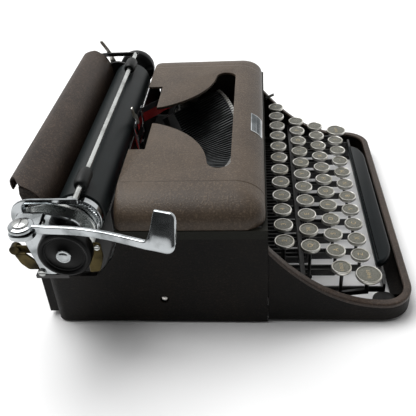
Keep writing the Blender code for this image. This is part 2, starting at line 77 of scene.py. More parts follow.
# %% Camera
YAW, PITCH, ROLL = 0.1029, 0.6251, -0.0698
CAMERA_AT = (-431.74, 18.24, 325.19)
forward = np.array([math.cos(PITCH) * math.cos(YAW), math.cos(PITCH) * math.sin(YAW), -math.sin(PITCH)])
level = np.cross(forward, (0, 0, 1))
level /= np.linalg.norm(level)
upright = np.cross(level, forward)
right = math.cos(ROLL) * level + math.sin(ROLL) * upright
up = math.cos(ROLL) * upright - math.sin(ROLL) * level
camera = bpy.data.objects.new("camera", bpy.data.cameras.new("camera"))
camera.data.lens, camera.data.sensor_width = 51.92, 36.0
axes = Matrix(np.array([right, up, -forward]).T).to_4x4()
camera.matrix_world = Matrix.Translation(place(CAMERA_AT)) @ axes
bpy.context.scene.collection.objects.link(camera)
bpy.context.scene.camera = camera
bpy.context.scene.view_settings.view_transform = "Standard"
print("camera stands", round(math.hypot(*CAMERA_AT) / 1000, 3), "m from the machine's zero")

# %% [markdown]
# ## Colour and nodes
#
# Paint charts and screens give colours in sRGB, but light adds up in linear values, so one function converts
# them. A second one adds any shader node with its settings and links, which keeps each finish short to read.


# %% Colour and node helpers
def linear(hex_colour):
    """sRGB to linear: c / 12.92 below 0.04045, and ((c + 0.055) / 1.055) ^ 2.4 above it."""
    c = np.array([int(hex_colour[i:i + 2], 16) for i in (0, 2, 4)]) / 255.0
    return (*np.where(c <= 0.04045, c / 12.92, ((c + 0.055) / 1.055) ** 2.4), 1.0)


def add(owner, kind, inputs=None, stops=(), **settings):
    """Adds one node: settings go on it, inputs are values or outputs to link, stops colour its ramp."""
    node = owner.node_tree.nodes.new("ShaderNode" + kind)
    for name, value in settings.items():
        setattr(node, name, value)
    for name, value in (inputs or {}).items():
        if isinstance(value, bpy.types.NodeSocket):
            owner.node_tree.links.new(value, node.inputs[name])
        else:
            node.inputs[name].default_value = value
    while stops and len(node.color_ramp.elements) < len(stops):
        node.color_ramp.elements.new(0.5)
    for number, (position, colour) in enumerate(stops):
        node.color_ramp.elements[number].position = position
        node.color_ramp.elements[number].color = linear(colour)
    return node


print("mid grey 808080 is", round(float(linear("808080")[0]), 4), "in linear light")

# %% [markdown]
# ## Lights and sky
#
# A small product studio: one wide soft light high up behind the machine, and pale surroundings that are
# bright at the back and dim at the front. Polished plating shows this difference as light and dark bands.
# An image could light it too, but a gradient along one direction is enough and easy to adjust.

# %% Lights and sky
LAMP_AT, LAMP_AIM, LAMP_SIZE, LAMP_WATTS = Vector((0.30, 0.52, 1.40)), Vector((0.03, 0.0, 0.05)), 1.15, 24.0
lamp = bpy.data.lights.new("overhead_softbox", "AREA")
lamp.size, lamp.energy = LAMP_SIZE, LAMP_WATTS
softbox = bpy.data.objects.new("overhead_softbox", lamp)
softbox.location = LAMP_AT
softbox.rotation_euler = (LAMP_AIM - LAMP_AT).to_track_quat("-Z", "Y").to_euler()
bpy.context.scene.collection.objects.link(softbox)

sky = bpy.data.worlds.new("studio_surroundings")
sky.use_nodes = True
direction = add(sky, "TexCoord").outputs["Generated"]
sideways = add(sky, "SeparateXYZ", {"Vector": direction}).outputs["X"]
fade = {"Value": sideways, "From Min": -0.45, "From Max": 0.6, "To Min": 0.07, "To Max": 1.05}
brightness = add(sky, "MapRange", fade).outputs[0]
sky.node_tree.links.new(brightness, sky.node_tree.nodes["Background"].inputs["Strength"])
sky.node_tree.nodes["Background"].inputs["Color"].default_value = (1.0, 1.0, 1.0, 1.0)
bpy.context.scene.world = sky
print("softbox of", LAMP_SIZE, "m hangs", round((LAMP_AT - LAMP_AIM).length, 2), "m from the machine")

# %% [markdown]
# ## Finishes
#
# A material starts from what the real one is and how its surface was made. Each is a Principled shader with
# a pattern whose scale comes from a real size: the grit of a crinkled enamel, the drag marks in a plating.
# All patterns read Object coordinates, which here are metres in the machine's frame, so a texture scale of
# 1000 / size gives blotches about that many millimetres across.


# %% A material to fill
def blank(name, **shader_values):
    """A material with only its Principled shader, and that shader's plain values set."""
    material = bpy.data.materials.new(name)
    material.use_nodes = True
    shader = material.node_tree.nodes["Principled BSDF"]
    for socket, value in shader_values.items():
        shader.inputs[socket.replace("_", " ")].default_value = value
    return material, shader


def feed(material, shader, **outputs):
    """Links node outputs to the shader's sockets of the same names."""
    for socket, output in outputs.items():
        material.node_tree.links.new(output, shader.inputs[socket.replace("_", " ")])


def per_mm(size):
    """Texture scale for blotches of a size in millimetres."""
    return 1000.0 / size


print("a blotch of 2 mm needs texture scale", per_mm(2.0))

# %% [markdown]
# ### Crinkle enamel
#
# Office machines of this age are sprayed with an enamel that shrinks as it is baked, so its skin wrinkles
# into worm-like ridges under a millimetre apart. It hides scratches and kills glare. Noise on its own looks
# like sand; the ridges come from folding the noise about its middle value, which leaves thin valleys. The
# same folded value picks the colour, so the valleys are painted shade and the ridges painted highlight.

# %% Crinkle enamel
RIDGE_MM = 2.2  # the real ridges are about 0.7 mm apart; drawn coarser than real, so that they still show
BLOTCH_MM = 35.0
FOLD_DEPTH = 0.0003
CREASE_HALF_WIDTH = 0.0006


def crinkle_enamel(name, colours, roughness=0.5, shine=0.3, band=None, crease=None):
    """Baked wrinkle enamel: |2 n - 1| of noise over slow blotches picks a dark, middle or light colour.

    band is (height, hex): above that height the enamel is that colour. crease is a distance to each side of
    the middle, past which the surface steps down a little, as a pressing does where its shoulder starts.
    """
    material, shader = blank(name, Roughness=roughness, Specular_IOR_Level=shine)
    where = add(material, "TexCoord").outputs["Object"]
    ridges = {"Vector": where, "Scale": per_mm(RIDGE_MM), "Detail": 3.0, "Roughness": 0.65}
    fine = add(material, "TexNoise", ridges).outputs["Fac"]
    doubled = add(material, "Math", {0: fine, 1: 2.0, 2: -1.0}, operation="MULTIPLY_ADD").outputs[0]
    folded = add(material, "Math", {0: doubled}, operation="ABSOLUTE").outputs[0]
    blotches = {"Vector": where, "Scale": per_mm(BLOTCH_MM), "Detail": 4.0, "Roughness": 0.5}
    slow = add(material, "TexNoise", blotches).outputs["Fac"]
    mix = add(material, "Math", {0: slow, 1: 0.55, 2: 0.0}, operation="MULTIPLY_ADD").outputs[0]
    mix = add(material, "Math", {0: folded, 1: 1.1, 2: mix}, operation="MULTIPLY_ADD").outputs[0]
    # The colour follows the bump's folded noise: painted shade in the valleys, painted highlight on the
    # ridges.
    colour = add(material, "ValToRGB", {"Fac": mix}, list(zip((0.26, 0.46, 0.78), colours))).outputs["Color"]
    height = folded
    split = add(material, "SeparateXYZ", {"Vector": where})
    if band:
        start, band_colour = band
        above = add(material, "Math", {0: split.outputs["Z"], 1: start}, operation="GREATER_THAN").outputs[0]
        both = {"Factor": above, 6: colour, 7: linear(band_colour)}
        colour = add(material, "Mix", both, data_type="RGBA").outputs[2]
    if crease:
        middle = float(ORIGIN[0])
        half = add(material, "Math", {0: split.outputs["X"], 1: middle}, operation="SUBTRACT").outputs[0]
        side = add(material, "Math", {0: half}, operation="ABSOLUTE").outputs[0]
        step = {"Value": side, "From Min": crease - CREASE_HALF_WIDTH, "From Max": crease + CREASE_HALF_WIDTH}
        near = add(material, "MapRange", {**step, "To Min": 0.0, "To Max": 2.5}).outputs[0]
        height = add(material, "Math", {0: folded, 1: near}, operation="SUBTRACT").outputs[0]
    relief = add(material, "Bump", {"Height": height, "Distance": FOLD_DEPTH, "Strength": 0.9})
    feed(material, shader, Base_Color=colour, Normal=relief.outputs["Normal"])
    return material


# Taupe on the cover: warm, with painted highlight on every ridge and painted shade in the valleys. Near black
# on the casing: dark paint drawn darker still as painted shade on walls that face away from the light, with a
# greyer band above 78.2 mm. The rim is the wall's enamel drawn lighter brown as painted light on its top, and
# a little smoother and shinier.
# The casing's near black is its dark paint and, darker still, painted shade for walls that face away from the
# light.
TAUPE, SHADED_NEAR_BLACK = ("3c3229", "4e4236", "594c3f"), ("050403", "100c08", "1e1710")
LIT_RIM_BROWN, TABLE_BROWN = ("2a211b", "3d3128", "4c3f35"), ("241b15", "382c23", "4a3c31")
cover_enamel = crinkle_enamel("taupe_crinkle_enamel", TAUPE, 0.46, 0.25, crease=0.097)
casing_enamel_and_painted_shade = crinkle_enamel("dark_crinkle_enamel_and_painted_shade", SHADED_NEAR_BLACK, 0.5, 0.12, band=(0.0782, "191913"))
# The rim's lighter brown is painted light: a lit copy of the wall's enamel on the top of the bead.
rim_enamel_painted_lit = crinkle_enamel("rim_crinkle_enamel_painted_lit", LIT_RIM_BROWN, 0.42, 0.3)
table_enamel = crinkle_enamel("paper_table_enamel", TABLE_BROWN, 0.46, 0.25)
print("crinkle enamels on cover, casing, rim and paper table, with ridges drawn", RIDGE_MM, "mm apart")

# %% [markdown]
# ### Black japan and plated steel
#
# Frames and levers are dipped in black japan, a glossy asphalt varnish that gathers dust. Levers that a hand
# touches are nickel or chromium plated: they mirror the room, and clouds of handling dull them in places.
# Both could be a single colour and roughness, but it is the uneven dulling that tells the eye they are old.


# %% Varnish and plating
def japan(name, colour="0b0b0b", shine=0.28, dusty="1c1a18"):
    """Black varnish, with a little dust that dulls it in slow patches 9 mm across."""
    material, shader = blank(name)
    where = add(material, "TexCoord").outputs["Object"]
    patches = {"Vector": where, "Scale": per_mm(9.0), "Detail": 4.0, "Roughness": 0.5}
    dust = add(material, "TexNoise", patches).outputs["Fac"]
    tone = add(material, "ValToRGB", {"Fac": dust}, [(0.3, colour), (0.75, dusty)]).outputs["Color"]
    dull = {"Value": dust, "To Min": shine - 0.06, "To Max": shine + 0.22}
    feed(material, shader, Base_Color=tone, Roughness=add(material, "MapRange", dull).outputs[0])
    return material


def plated(name, colour, roughness, wear_colour):
    """Plating over polished steel: cloudy patches 14 mm across, where handling has dulled it."""
    material, shader = blank(name, Metallic=1.0)
    where = add(material, "TexCoord").outputs["Object"]
    patches = {"Vector": where, "Scale": per_mm(14.0), "Detail": 5.0, "Roughness": 0.5}
    cloud = add(material, "TexNoise", patches).outputs["Fac"]
    tone = add(material, "ValToRGB", {"Fac": cloud}, [(0.36, wear_colour), (0.56, colour)]).outputs["Color"]
    rough = {"Value": cloud, "To Min": roughness + 0.12, "To Max": roughness - 0.03}
    feed(material, shader, Base_Color=tone, Roughness=add(material, "MapRange", rough).outputs[0])
    return material


black_japan = japan("black_japan")  # deep black with a soft gloss on every edge
typebar_black = japan("blued_typebar_steel", "020202", 0.4, "090909")  # darker and duller: heat-blued strip
typebar_edge = plated("ground_typebar_steel", "7a7d7e", 0.38, "3a3d3e")  # grey, where strip is ground
chrome = plated("polished_chrome", "b4b8ba", 0.08, "7d8182")  # a cool, sharp mirror
nickel = plated("nickel_plate", "eceae4", 0.3, "b9b6ab")  # warmer and softer than chromium
bail_steel = plated("drawn_steel_rod", "c4c6c4", 0.22, "9a9c9a")  # bright but brushed by drawing
old_brass = plated("tarnished_brass", "4c432a", 0.4, "1e1a10")  # brown, with yellow only in the highlights
spool_steel = plated("tinned_spool_steel", "a5a5a2", 0.25, "77756f")  # pale grey tin, slightly dull
print("varnished:", black_japan.name, typebar_black.name)
print("plated:", chrome.name, nickel.name, bail_steel.name, old_brass.name, spool_steel.name)

# %% [markdown]
# ### Rubber, bakelite and key cards
#
# The platen is vulcanised rubber ground to a matte slate, and bakelite parts look much the same but smoother.
# Key tops are printed card under domed glass. Light could be traced through a real lens of glass, but it is
# thin and clear, so the card simply gets a clear coat, which adds the same small highlight.


# %% Rubber, bakelite and card
def ground_rubber(name, dark, light, roughness, shine=0.4):
    """Ground rubber: a speckle of 0.8 mm over long faint rub marks, 12 mm wide and four times as long."""
    material, shader = blank(name, Roughness=roughness, Specular_IOR_Level=shine)
    where = add(material, "TexCoord").outputs["Object"]
    grit = {"Vector": where, "Scale": per_mm(0.8), "Detail": 2.0, "Roughness": 0.5}
    speck = add(material, "TexNoise", grit).outputs["Fac"]
    drawn_out = add(material, "Mapping", {"Vector": where, "Scale": (1.0, 0.25, 0.25)}).outputs["Vector"]
    marks = {"Vector": drawn_out, "Scale": per_mm(12.0), "Detail": 3.0, "Roughness": 0.5}
    rub = add(material, "TexNoise", marks).outputs["Fac"]
    both = add(material, "Math", {0: speck, 1: 0.35, 2: 0.1}, operation="MULTIPLY_ADD").outputs[0]
    both = add(material, "Math", {0: rub, 1: 0.65, 2: both}, operation="MULTIPLY_ADD").outputs[0]
    tone = add(material, "ValToRGB", {"Fac": both}, [(0.35, dark), (0.75, light)]).outputs["Color"]
    relief = add(material, "Bump", {"Height": speck, "Distance": 0.00002, "Strength": 0.5}).outputs["Normal"]
    feed(material, shader, Base_Color=tone, Normal=relief)
    return material


def patchy(name, patch_mm, detail, dark, light, **shader_values):
    """A printed or painted face whose colour drifts between two tones in patches of patch_mm."""
    material, shader = blank(name, **shader_values)
    where = add(material, "TexCoord").outputs["Object"]
    patches = {"Vector": where, "Scale": per_mm(patch_mm), "Detail": detail, "Roughness": 0.5}
    drift = add(material, "TexNoise", patches).outputs["Fac"]
    tone = add(material, "ValToRGB", {"Fac": drift}, [(0.3, dark), (0.7, light)]).outputs["Color"]
    feed(material, shader, Base_Color=tone)
    return material


platen_rubber = ground_rubber("platen_rubber", "090f10", "131a1b", 0.42, 0.2)  # slate, with a broad sheen
roller_rubber = ground_rubber("bail_roller_rubber", "0a0b0b", "141615", 0.45, 0.2)  # softer and blacker
foot_rubber = ground_rubber("foot_rubber", "0e0e0d", "191817", 0.6)  # dusty, almost without highlight
bar_bakelite = ground_rubber("space_bar_bakelite", "070b0d", "0e1416", 0.36, 0.13)  # moulded, blue-black
knob_bakelite = ground_rubber("knob_bakelite", "020202", "060606", 0.3, 0.11)  # moulded, deep black
MATTE_PRINT = {"Roughness": 0.6, "Specular_IOR_Level": 0.1}
UNDER_GLASS = {**MATTE_PRINT, "Coat_Weight": 0.45, "Coat_Roughness": 0.06, "Coat_IOR": 1.5}
key_card = patchy("printed_card_under_glass", 1.2, 4.0, "4e4e46", "6e6d64", **UNDER_GLASS)  # yellowed fibres
key_ink = patchy("legend_ink_under_glass", 2.0, 2.0, "8c7c5c", "b09d78", **UNDER_GLASS)  # pale faded print
badge_face = patchy("badge_enamel", 3.0, 2.0, "10161a", "2a3438", Roughness=0.55, Specular_IOR_Level=0.1)
print("card and ink under glass:", key_card.name, key_ink.name)

# %% [markdown]
# ### Ribbon cloth
#
# The ribbon is cotton, woven from threads half a millimetre apart and soaked in ink. The threads are too fine
# to count from a distance, but they scatter light, so the cloth stays matte where plastic would shine. Two
# wave textures across each other give the weave, at its true size.

# %% Ribbon cloth
THREAD_MM = 0.5
WAVE_SCALE = 1000 * 2 * math.pi / 20  # a wave texture of this scale repeats every millimetre


def woven_ribbon(name, dark, light):
    """Inked cotton: two sine waves, one thread apart and crossing at a right angle, multiplied together."""
    material, shader = blank(name, Roughness=0.75)
    where = add(material, "TexCoord").outputs["Object"]
    thread = {"Vector": where, "Scale": WAVE_SCALE / THREAD_MM, "Distortion": 0.3}
    across = add(material, "TexWave", thread, bands_direction="X").outputs["Fac"]
    along = add(material, "TexWave", thread, bands_direction="Z").outputs["Fac"]
    weave = add(material, "Math", {0: across, 1: along}, operation="MULTIPLY").outputs[0]
    tone = add(material, "ValToRGB", {"Fac": weave}, [(0.1, dark), (0.8, light)]).outputs["Color"]
    relief = add(material, "Bump", {"Height": weave, "Distance": 0.00005, "Strength": 0.6}).outputs["Normal"]
    feed(material, shader, Base_Color=tone, Normal=relief)
    return material


ribbon_red = woven_ribbon("red_inked_cotton", "980808", "d01212")
ribbon_black = woven_ribbon("black_inked_cotton", "0a0a0c", "1d1d22")
print("finishes made:", len(bpy.data.materials))

# %% [markdown]
# ## Surfaces from arrays
#
# Almost every part of the machine is one of four surfaces: a profile turned on an axis, a flat outline with
# broken edges, a section carried along a path, or a stack of shrinking outlines. Each is a grid of points,
# computed at once, and one routine closes such a grid into a solid. Blender's Screw or Curve tools could make
# some of them, but arrays keep every size in view.

# %% Grids and closed skins
ORDER = {"X": (2, 0, 1), "Y": (0, 2, 1), "Z": (0, 1, 2)}


def on_axis(axis, a, b, along):
    """Two cross coordinates and one along an axis, put in X, Y, Z order."""
    parts = np.broadcast_arrays(a, b, along)
    return np.stack([parts[i] for i in ORDER[axis]], -1).astype(float)


def quads(rows, columns, wrap):
    """A grid's faces: each joins a point to the next in its row, and to the two above them."""
    start = np.arange(rows - 1)[:, None] * columns
    j = np.arange(columns if wrap else columns - 1)[None, :]
    k = (j + 1) % columns
    faces = np.stack([start + j, start + k, start + columns + k, start + columns + j], -1)
    return faces.reshape(-1, 4).tolist()


def closed(rings):
    """A closed skin over rings of points: quads between rings and one flat face over each end."""
    rings = np.asarray(rings, float)
    rows, columns = rings.shape[:2]
    ends = [list(range(columns)), list(range((rows - 1) * columns, rows * columns))]
    return rings.reshape(-1, 3), quads(rows, columns, True) + ends


print("a tube of 3 rings of 8 points has", len(quads(3, 8, True)), "side faces")

# %% [markdown]
# Real outlines have no sharp corners: a press tool rounds them, and a hand does too. `circle` gives arcs, and
# `eased` rounds every corner of a polyline with a short parabola, so an outline can be listed by its corners.


# %% Outlines and lines
def eased(points, radius, steps=4, loop=True):
    """Rounds corners: near corner P it is (1-s)^2 A + 2 s (1-s) P + s^2 C, with A and C a radius away."""
    p = np.asarray(points, float)
    reach = np.broadcast_to(np.asarray(radius, float), len(p))

    def towards(other):
        gap = other - p
        length = np.maximum(np.linalg.norm(gap, axis=1), 1e-9)
        return p + gap * (np.minimum(reach, 0.48 * length) / length)[:, None]

    a, c = towards(np.roll(p, 1, 0)), towards(np.roll(p, -1, 0))
    if not loop:
        a[0] = c[0] = p[0]
        a[-1] = c[-1] = p[-1]
    s = np.linspace(0, 1, steps + 1)[None, :, None]
    curve = (1 - s) ** 2 * a[:, None] + 2 * s * (1 - s) * p[:, None] + s ** 2 * c[:, None]
    return curve.reshape(-1, p.shape[1])


def smooth_path(points, count):
    """A smooth line through points: a Catmull-Rom curve, a cubic in s, sampled count times per span."""
    p = np.asarray(points, float)
    p = np.vstack([2 * p[0] - p[1], p, 2 * p[-1] - p[-2]])
    s = np.linspace(0, 1, count, endpoint=False)[None, :, None]
    a, b, c, d = (p[i:len(p) - 3 + i, None] for i in range(4))
    square, cube = 2 * a - 5 * b + 4 * c - d, 3 * b - a - 3 * c + d
    curve = 0.5 * (2 * b + (c - a) * s + square * s ** 2 + cube * s ** 3)
    return np.vstack([curve.reshape(-1, p.shape[1]), p[-2]])


def circle(centre, radius, steps, start=0.0, stop=360.0):
    """Points on a circle from one angle to another, in degrees; a full turn leaves out its last point."""
    t = np.radians(np.linspace(start, stop, steps, endpoint=abs(stop - start) < 360))
    return np.stack([centre[0] + radius * np.cos(t), centre[1] + radius * np.sin(t)], -1)


print("a square eased by 1 mm has", len(eased([(0, 0), (9, 0), (9, 9), (0, 9)], 1.0)), "points")

# %% [markdown]
# Now the four surfaces themselves. Each returns its corners and faces, and nothing is made in Blender yet.


# %% Turned, stacked, flat and carried solids
def turned(axis, centre, profile, sides=32, teeth=0, tooth=0.0):
    """A turned solid: radius r(along) carried round the axis, less tooth x (teeth t mod 1) if it is cut."""
    profile = np.asarray(profile, float)
    t = np.linspace(0, 1, sides, endpoint=False)
    r = profile[:, 1:2] - tooth * np.mod(teeth * t, 1.0)[None, :]
    a = centre[0] + r * np.cos(2 * np.pi * t)
    b = centre[1] + r * np.sin(2 * np.pi * t)
    return closed(on_axis(axis, a, b, profile[:, 0:1]))


def outward(outline):
    """Unit outward normals of a plan outline: each tangent turned a quarter, away from the enclosed side."""
    p = np.asarray(outline, float)
    tangent = np.roll(p, -1, 0) - np.roll(p, 1, 0)
    tangent /= np.maximum(np.linalg.norm(tangent, axis=1, keepdims=True), 1e-9)
    area = np.sum(p[:, 0] * np.roll(p[:, 1], -1) - p[:, 1] * np.roll(p[:, 0], -1))
    return np.stack([tangent[:, 1], -tangent[:, 0]], -1) * np.sign(area)


def stacked(axis, outline, levels):
    """An outline stacked along an axis: at each (inset, along) level it is moved inwards by inset."""
    p, normal = np.asarray(outline, float), outward(outline)
    levels = np.asarray(levels, float)
    rings = p[None] - normal[None] * levels[:, 0][:, None, None]
    return closed(on_axis(axis, rings[..., 0], rings[..., 1], levels[:, 1][:, None]))


def plate(axis, outline, low, high, edge=0.3):
    """A flat outline from low to high with its two edges broken by a small bevel."""
    return stacked(axis, outline, [(edge, low), (0, low + edge), (0, high - edge), (edge, high)])


def carried(path, section, lean=(0, 0, 1)):
    """A section carried along a path: point + a x side + b x rise, where side = tangent x lean."""
    path, section = np.asarray(path, float), np.asarray(section, float)
    tangent = np.gradient(path, axis=0)
    tangent /= np.linalg.norm(tangent, axis=1, keepdims=True)
    side = np.cross(tangent, lean)
    side /= np.linalg.norm(side, axis=1, keepdims=True)
    rise = np.cross(side, tangent)
    return closed(path[:, None] + section[..., 0:1] * side[:, None] + section[..., 1:2] * rise[:, None])


def bars(starts, ends, wide, tall):
    """Many straight bars at once: eight corners each, half wide to the sides and half tall up and down."""
    starts, ends = np.asarray(starts, float), np.asarray(ends, float)
    along = ends - starts
    along /= np.linalg.norm(along, axis=1, keepdims=True)
    side = np.cross(along, (0, 0, 1.0))
    side /= np.linalg.norm(side, axis=1, keepdims=True)
    rise = np.cross(side, along)
    corner = np.array([(-1, -1), (1, -1), (1, 1), (-1, 1)]) / 2.0
    offset = corner[None, :, 0:1] * wide * side[:, None] + corner[None, :, 1:2] * tall * rise[:, None]
    points = np.stack([starts[:, None] + offset, ends[:, None] + offset], 1).reshape(-1, 3)
    block = np.array([(0, 1, 2, 3), (7, 6, 5, 4), (0, 4, 5, 1), (1, 5, 6, 2), (2, 6, 7, 3), (3, 7, 4, 0)])
    faces = (block[None] + 8 * np.arange(len(starts))[:, None, None]).reshape(-1, 4).tolist()
    return points, faces


print("a washer turned with 32 sides has", len(turned("Z", (0, 0), [(0, 5), (1, 5)])[1]), "faces")

# %% [markdown]
# ## From solids to pieces
#
# One routine turns such solids into an object. It joins them, closes seams, turns every face outwards,
# keeps edges sharper than a limit and lets the piece ride on its CAD body. `softened` is the other way in:
# where a CAD node's shape is already right, a copy of it is merged, and its edges are broken by a Bevel.

# %% Make objects
SEAM = 2e-6
totals = {}


def finish_mesh(mesh, sharp):
    """Closes seams, turns faces outwards, and keeps edges sharper than an angle in degrees."""
    shape = bmesh.new()
    shape.from_mesh(mesh)
    bmesh.ops.remove_doubles(shape, verts=shape.verts, dist=SEAM)
    bmesh.ops.dissolve_degenerate(shape, edges=shape.edges, dist=1e-6)
    bmesh.ops.recalc_face_normals(shape, faces=shape.faces)
    shape.to_mesh(mesh)
    shape.free()
    mesh.shade_smooth()
    mesh.set_sharp_from_angle(angle=math.radians(sharp))


def settle(name, mesh, body, stands_for=()):
    """Puts a mesh in the scene as a piece that rides on a body and stands for CAD nodes."""
    piece = bpy.data.objects.new(name, mesh)
    bpy.context.scene.collection.objects.link(piece)
    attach(piece, body)
    if stands_for:
        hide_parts(*stands_for)
    totals[name] = len(mesh.polygons)
    return piece


def make(name, body, solids, stands_for=(), sharp=40.0):
    """Joins (solid, finish) pairs into one piece that rides on a body."""
    points, faces, numbers, finishes, start = [], [], [], [], 0
    for (corners, sides), material in solids:
        if material not in finishes:
            finishes.append(material)
        points.append(place(corners))
        faces += [[c + start for c in side] for side in sides]
        numbers += [finishes.index(material)] * len(sides)
        start += len(corners)
    mesh = bpy.data.meshes.new(name)
    mesh.from_pydata(np.concatenate(points), [], faces)
    for material in finishes:
        mesh.materials.append(material)
    mesh.polygons.foreach_set("material_index", numbers)
    finish_mesh(mesh, sharp)
    return settle(name, mesh, body, stands_for)


def softened(node, name, body, material, edge=0.4, sharp=35.0):
    """A merged copy of a CAD node with its flat faces joined again and its edges broken by edge mm."""
    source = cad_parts[node].data
    corners = np.empty(len(source.vertices) * 3)
    source.vertices.foreach_get("co", corners)
    index = np.empty(len(source.loops), int)
    source.loops.foreach_get("vertex_index", index)
    mesh = bpy.data.meshes.new(name)
    mesh.from_pydata(corners.reshape(-1, 3), [], index.reshape(-1, 3).tolist())
    shape = bmesh.new()
    shape.from_mesh(mesh)
    bmesh.ops.remove_doubles(shape, verts=shape.verts, dist=SEAM)
    bmesh.ops.dissolve_limit(shape, angle_limit=math.radians(1.0), verts=shape.verts, edges=shape.edges)
    shape.to_mesh(mesh)
    shape.free()
    mesh.materials.append(material)
    mesh.shade_smooth()
    mesh.set_sharp_from_angle(angle=math.radians(sharp))
    piece = settle(name, mesh, body, (node,))
    bevel = piece.modifiers.new("broken_edges", "BEVEL")
    bevel.width, bevel.segments, bevel.limit_method = edge / 1000.0, 2, "ANGLE"
    bevel.angle_limit = math.radians(sharp)
    return piece


print("CAD nodes to dress:", len(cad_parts))

# %% [markdown]
# ## Rear casing
#
# The casing is pressed sheet with square top edges. We could model it again, but its CAD solid already has
# the right shape, so a softened copy is enough. A small plated pin with a dark washer sits on its side.

# %% Rear casing
# The casing shell wears the near-black enamel, which is partly painted shade.
softened("rear_casing", "casing_shell", "chassis", casing_enamel_and_painted_shade, 0.7)
PIN_AT = (85.5, 23.4)
pin = turned("X", PIN_AT, [(-122.5, 1.0), (-124.6, 2.2), (-125.6, 2.0), (-126.1, 1.2), (-126.3, 0.02)], 16)
washer = turned("X", PIN_AT, [(-121.0, 3.1), (-123.6, 3.1), (-123.7, 0.02)], 16)
make("casing_side_pin", "chassis", [(pin, nickel), (washer, black_japan)])
print("casing has", totals["casing_shell"], "faces")

# %% [markdown]
# ## Keyboard surround
#
# The surround is the part with a line to it: a wall with a rolled rim that sweeps down from the casing and
# round the keys. A curve with a bevel profile could make it, but the wall must grow taller along the way, so
# we carry a section along the U ourselves. The rim's height follows a power curve in Y.

# %% Keyboard surround
RIM_LOW, RIM_RISE, RIM_REACH = 17.5, 50.0, 84.0
LEDGE_LOW, LEDGE_HIGH, FAR_BELOW = 2.6, 4.0, -50


def rim_height(y):
    """Height of the rim: low + rise x (distance from the front / reach) ^ 2.1."""
    return RIM_LOW + RIM_RISE * np.maximum((y + RIM_REACH - 12.0) / RIM_REACH, 0.0) ** 2.1


CORNER_X, CORNER_Y, CORNER_RADIUS, WALL_X, WALL_FRONT = 103, -70, 22, 125.0, -92.0
turn = np.radians(np.linspace(0, -90, 13))[1:-1]
side_y = np.linspace(11.7, CORNER_Y, 30)
corner = (CORNER_X + CORNER_RADIUS * np.cos(turn), CORNER_Y + CORNER_RADIUS * np.sin(turn))
half_path = np.vstack([
    np.stack([np.full(30, WALL_X), side_y, np.ones(30), np.zeros(30)], -1),
    np.stack([*corner, np.cos(turn), np.sin(turn)], -1),
    np.stack([np.linspace(CORNER_X, 0, 8), np.full(8, WALL_FRONT), np.zeros(8), -np.ones(8)], -1),
])
mirrored = half_path[-2::-1] * (-1, 1, -1, 1)
route = np.vstack([half_path, mirrored])


def swept_wall(section, floor=None):
    """The section (inset, rise) carried along the route: point - outward x inset, at rim height + rise.

    A rise below FAR_BELOW stands for the wall's foot, which is level at the height given as floor.
    """
    section = np.asarray(section, float)
    height = rim_height(route[:, 1])[:, None] + section[None, :, 1]
    if floor is not None:
        height = np.where(section[None, :, 1] < FAR_BELOW, floor, height)
    inset = section[None, :, 0]
    plan = [route[:, i:i + 1] - route[:, i + 2:i + 3] * inset for i in (0, 1)]
    return closed(np.stack([*plan, height], -1))


bead_section = eased(
    [(-0.15, -3.4), (-0.15, 0), (5.6, 0), (5.6, -2.6), (2.9, -2.6), (2.9, -3.4)],
    (0.3, 2.2, 1.2, 0.8, 0.3, 0.3), 5,
)
skin = swept_wall([(0, -200), (0, -1.2), (3.0, -1.2), (3.0, -200)], 2.5)
bead = swept_wall(bead_section)
ledge = swept_wall([(2.9, -200), (2.9, -199), (12.5, -199), (12.5, -200)])
# The ledge is level all the way round, so the two heights of its section replace the sloping ones.
ledge[0][:, 2] = np.where(ledge[0][:, 2] < rim_height(ledge[0][:, 1]) - 199.5, LEDGE_LOW, LEDGE_HIGH)
foot = [(0.0, 7.9), (0.5, 8.5), (4.0, 8.5), (4.4, 8.1), (4.4, 3.2), (3.6, 0.02)]
# Wall and ledge take the near-black enamel, partly painted shade; the bead takes the lighter rim brown,
# painted light.
surround = [(skin, casing_enamel_and_painted_shade), (bead, rim_enamel_painted_lit), (ledge, casing_enamel_and_painted_shade)]
for x in (-106, 106):
    web = [(x - 6, -88.5), (x + 6, -88.5), (x + 5, -76), (x - 5, -76)]
    surround.append((turned("Z", (x, -74), foot, 28), foot_rubber))
    surround.append((plate("Z", web, LEDGE_LOW, LEDGE_HIGH), casing_enamel_and_painted_shade))
make("surround_wall", "chassis", surround, ("keyboard_surround",), 50)
print("rim runs from", rim_height(-92.0).round(1), "to", rim_height(12.0).round(1), "mm above the table")

# %% [markdown]
# ## Ribbon cover
#
# The cover is one pressing: a skirt, a quarter-round shoulder and a flat top, cut by the fan the typebars
# rise through and by a notch for the roller. We make only its outer skin: rings of the plan outline, each
# stepped in by the shoulder's curve, then one flat face whose edge is the fan. Solidify gives it thickness.

# %% Cover
COVER_HALF, COVER_FRONT, COVER_BACK, COVER_BASE, COVER_TOP = 126.0, 13.5, 113.0, 85.3, 105.0
SHOULDER, FRONT_PART, SKIRT = 26.0, 0.86, 4.0  # the front shoulder reaches in 0.86 as far as the sides do
RING_POINTS = 30


def cover_ring(depth):
    """The plan outline moved in by depth: back corners of radius 5, front corners of 14 - 0.45 depth."""
    radius = max(14.0 - 0.45 * depth, 2.0)
    back = circle((COVER_HALF - depth - 5, COVER_BACK - 5), 5.0, 6, 90, 0)
    front_at = (COVER_HALF - depth - radius, COVER_FRONT + FRONT_PART * depth + radius)
    front = circle(front_at, radius, 9, 0, -90)
    half = np.vstack([back, front])
    return np.vstack([half, half[::-1] * (-1, 1)])


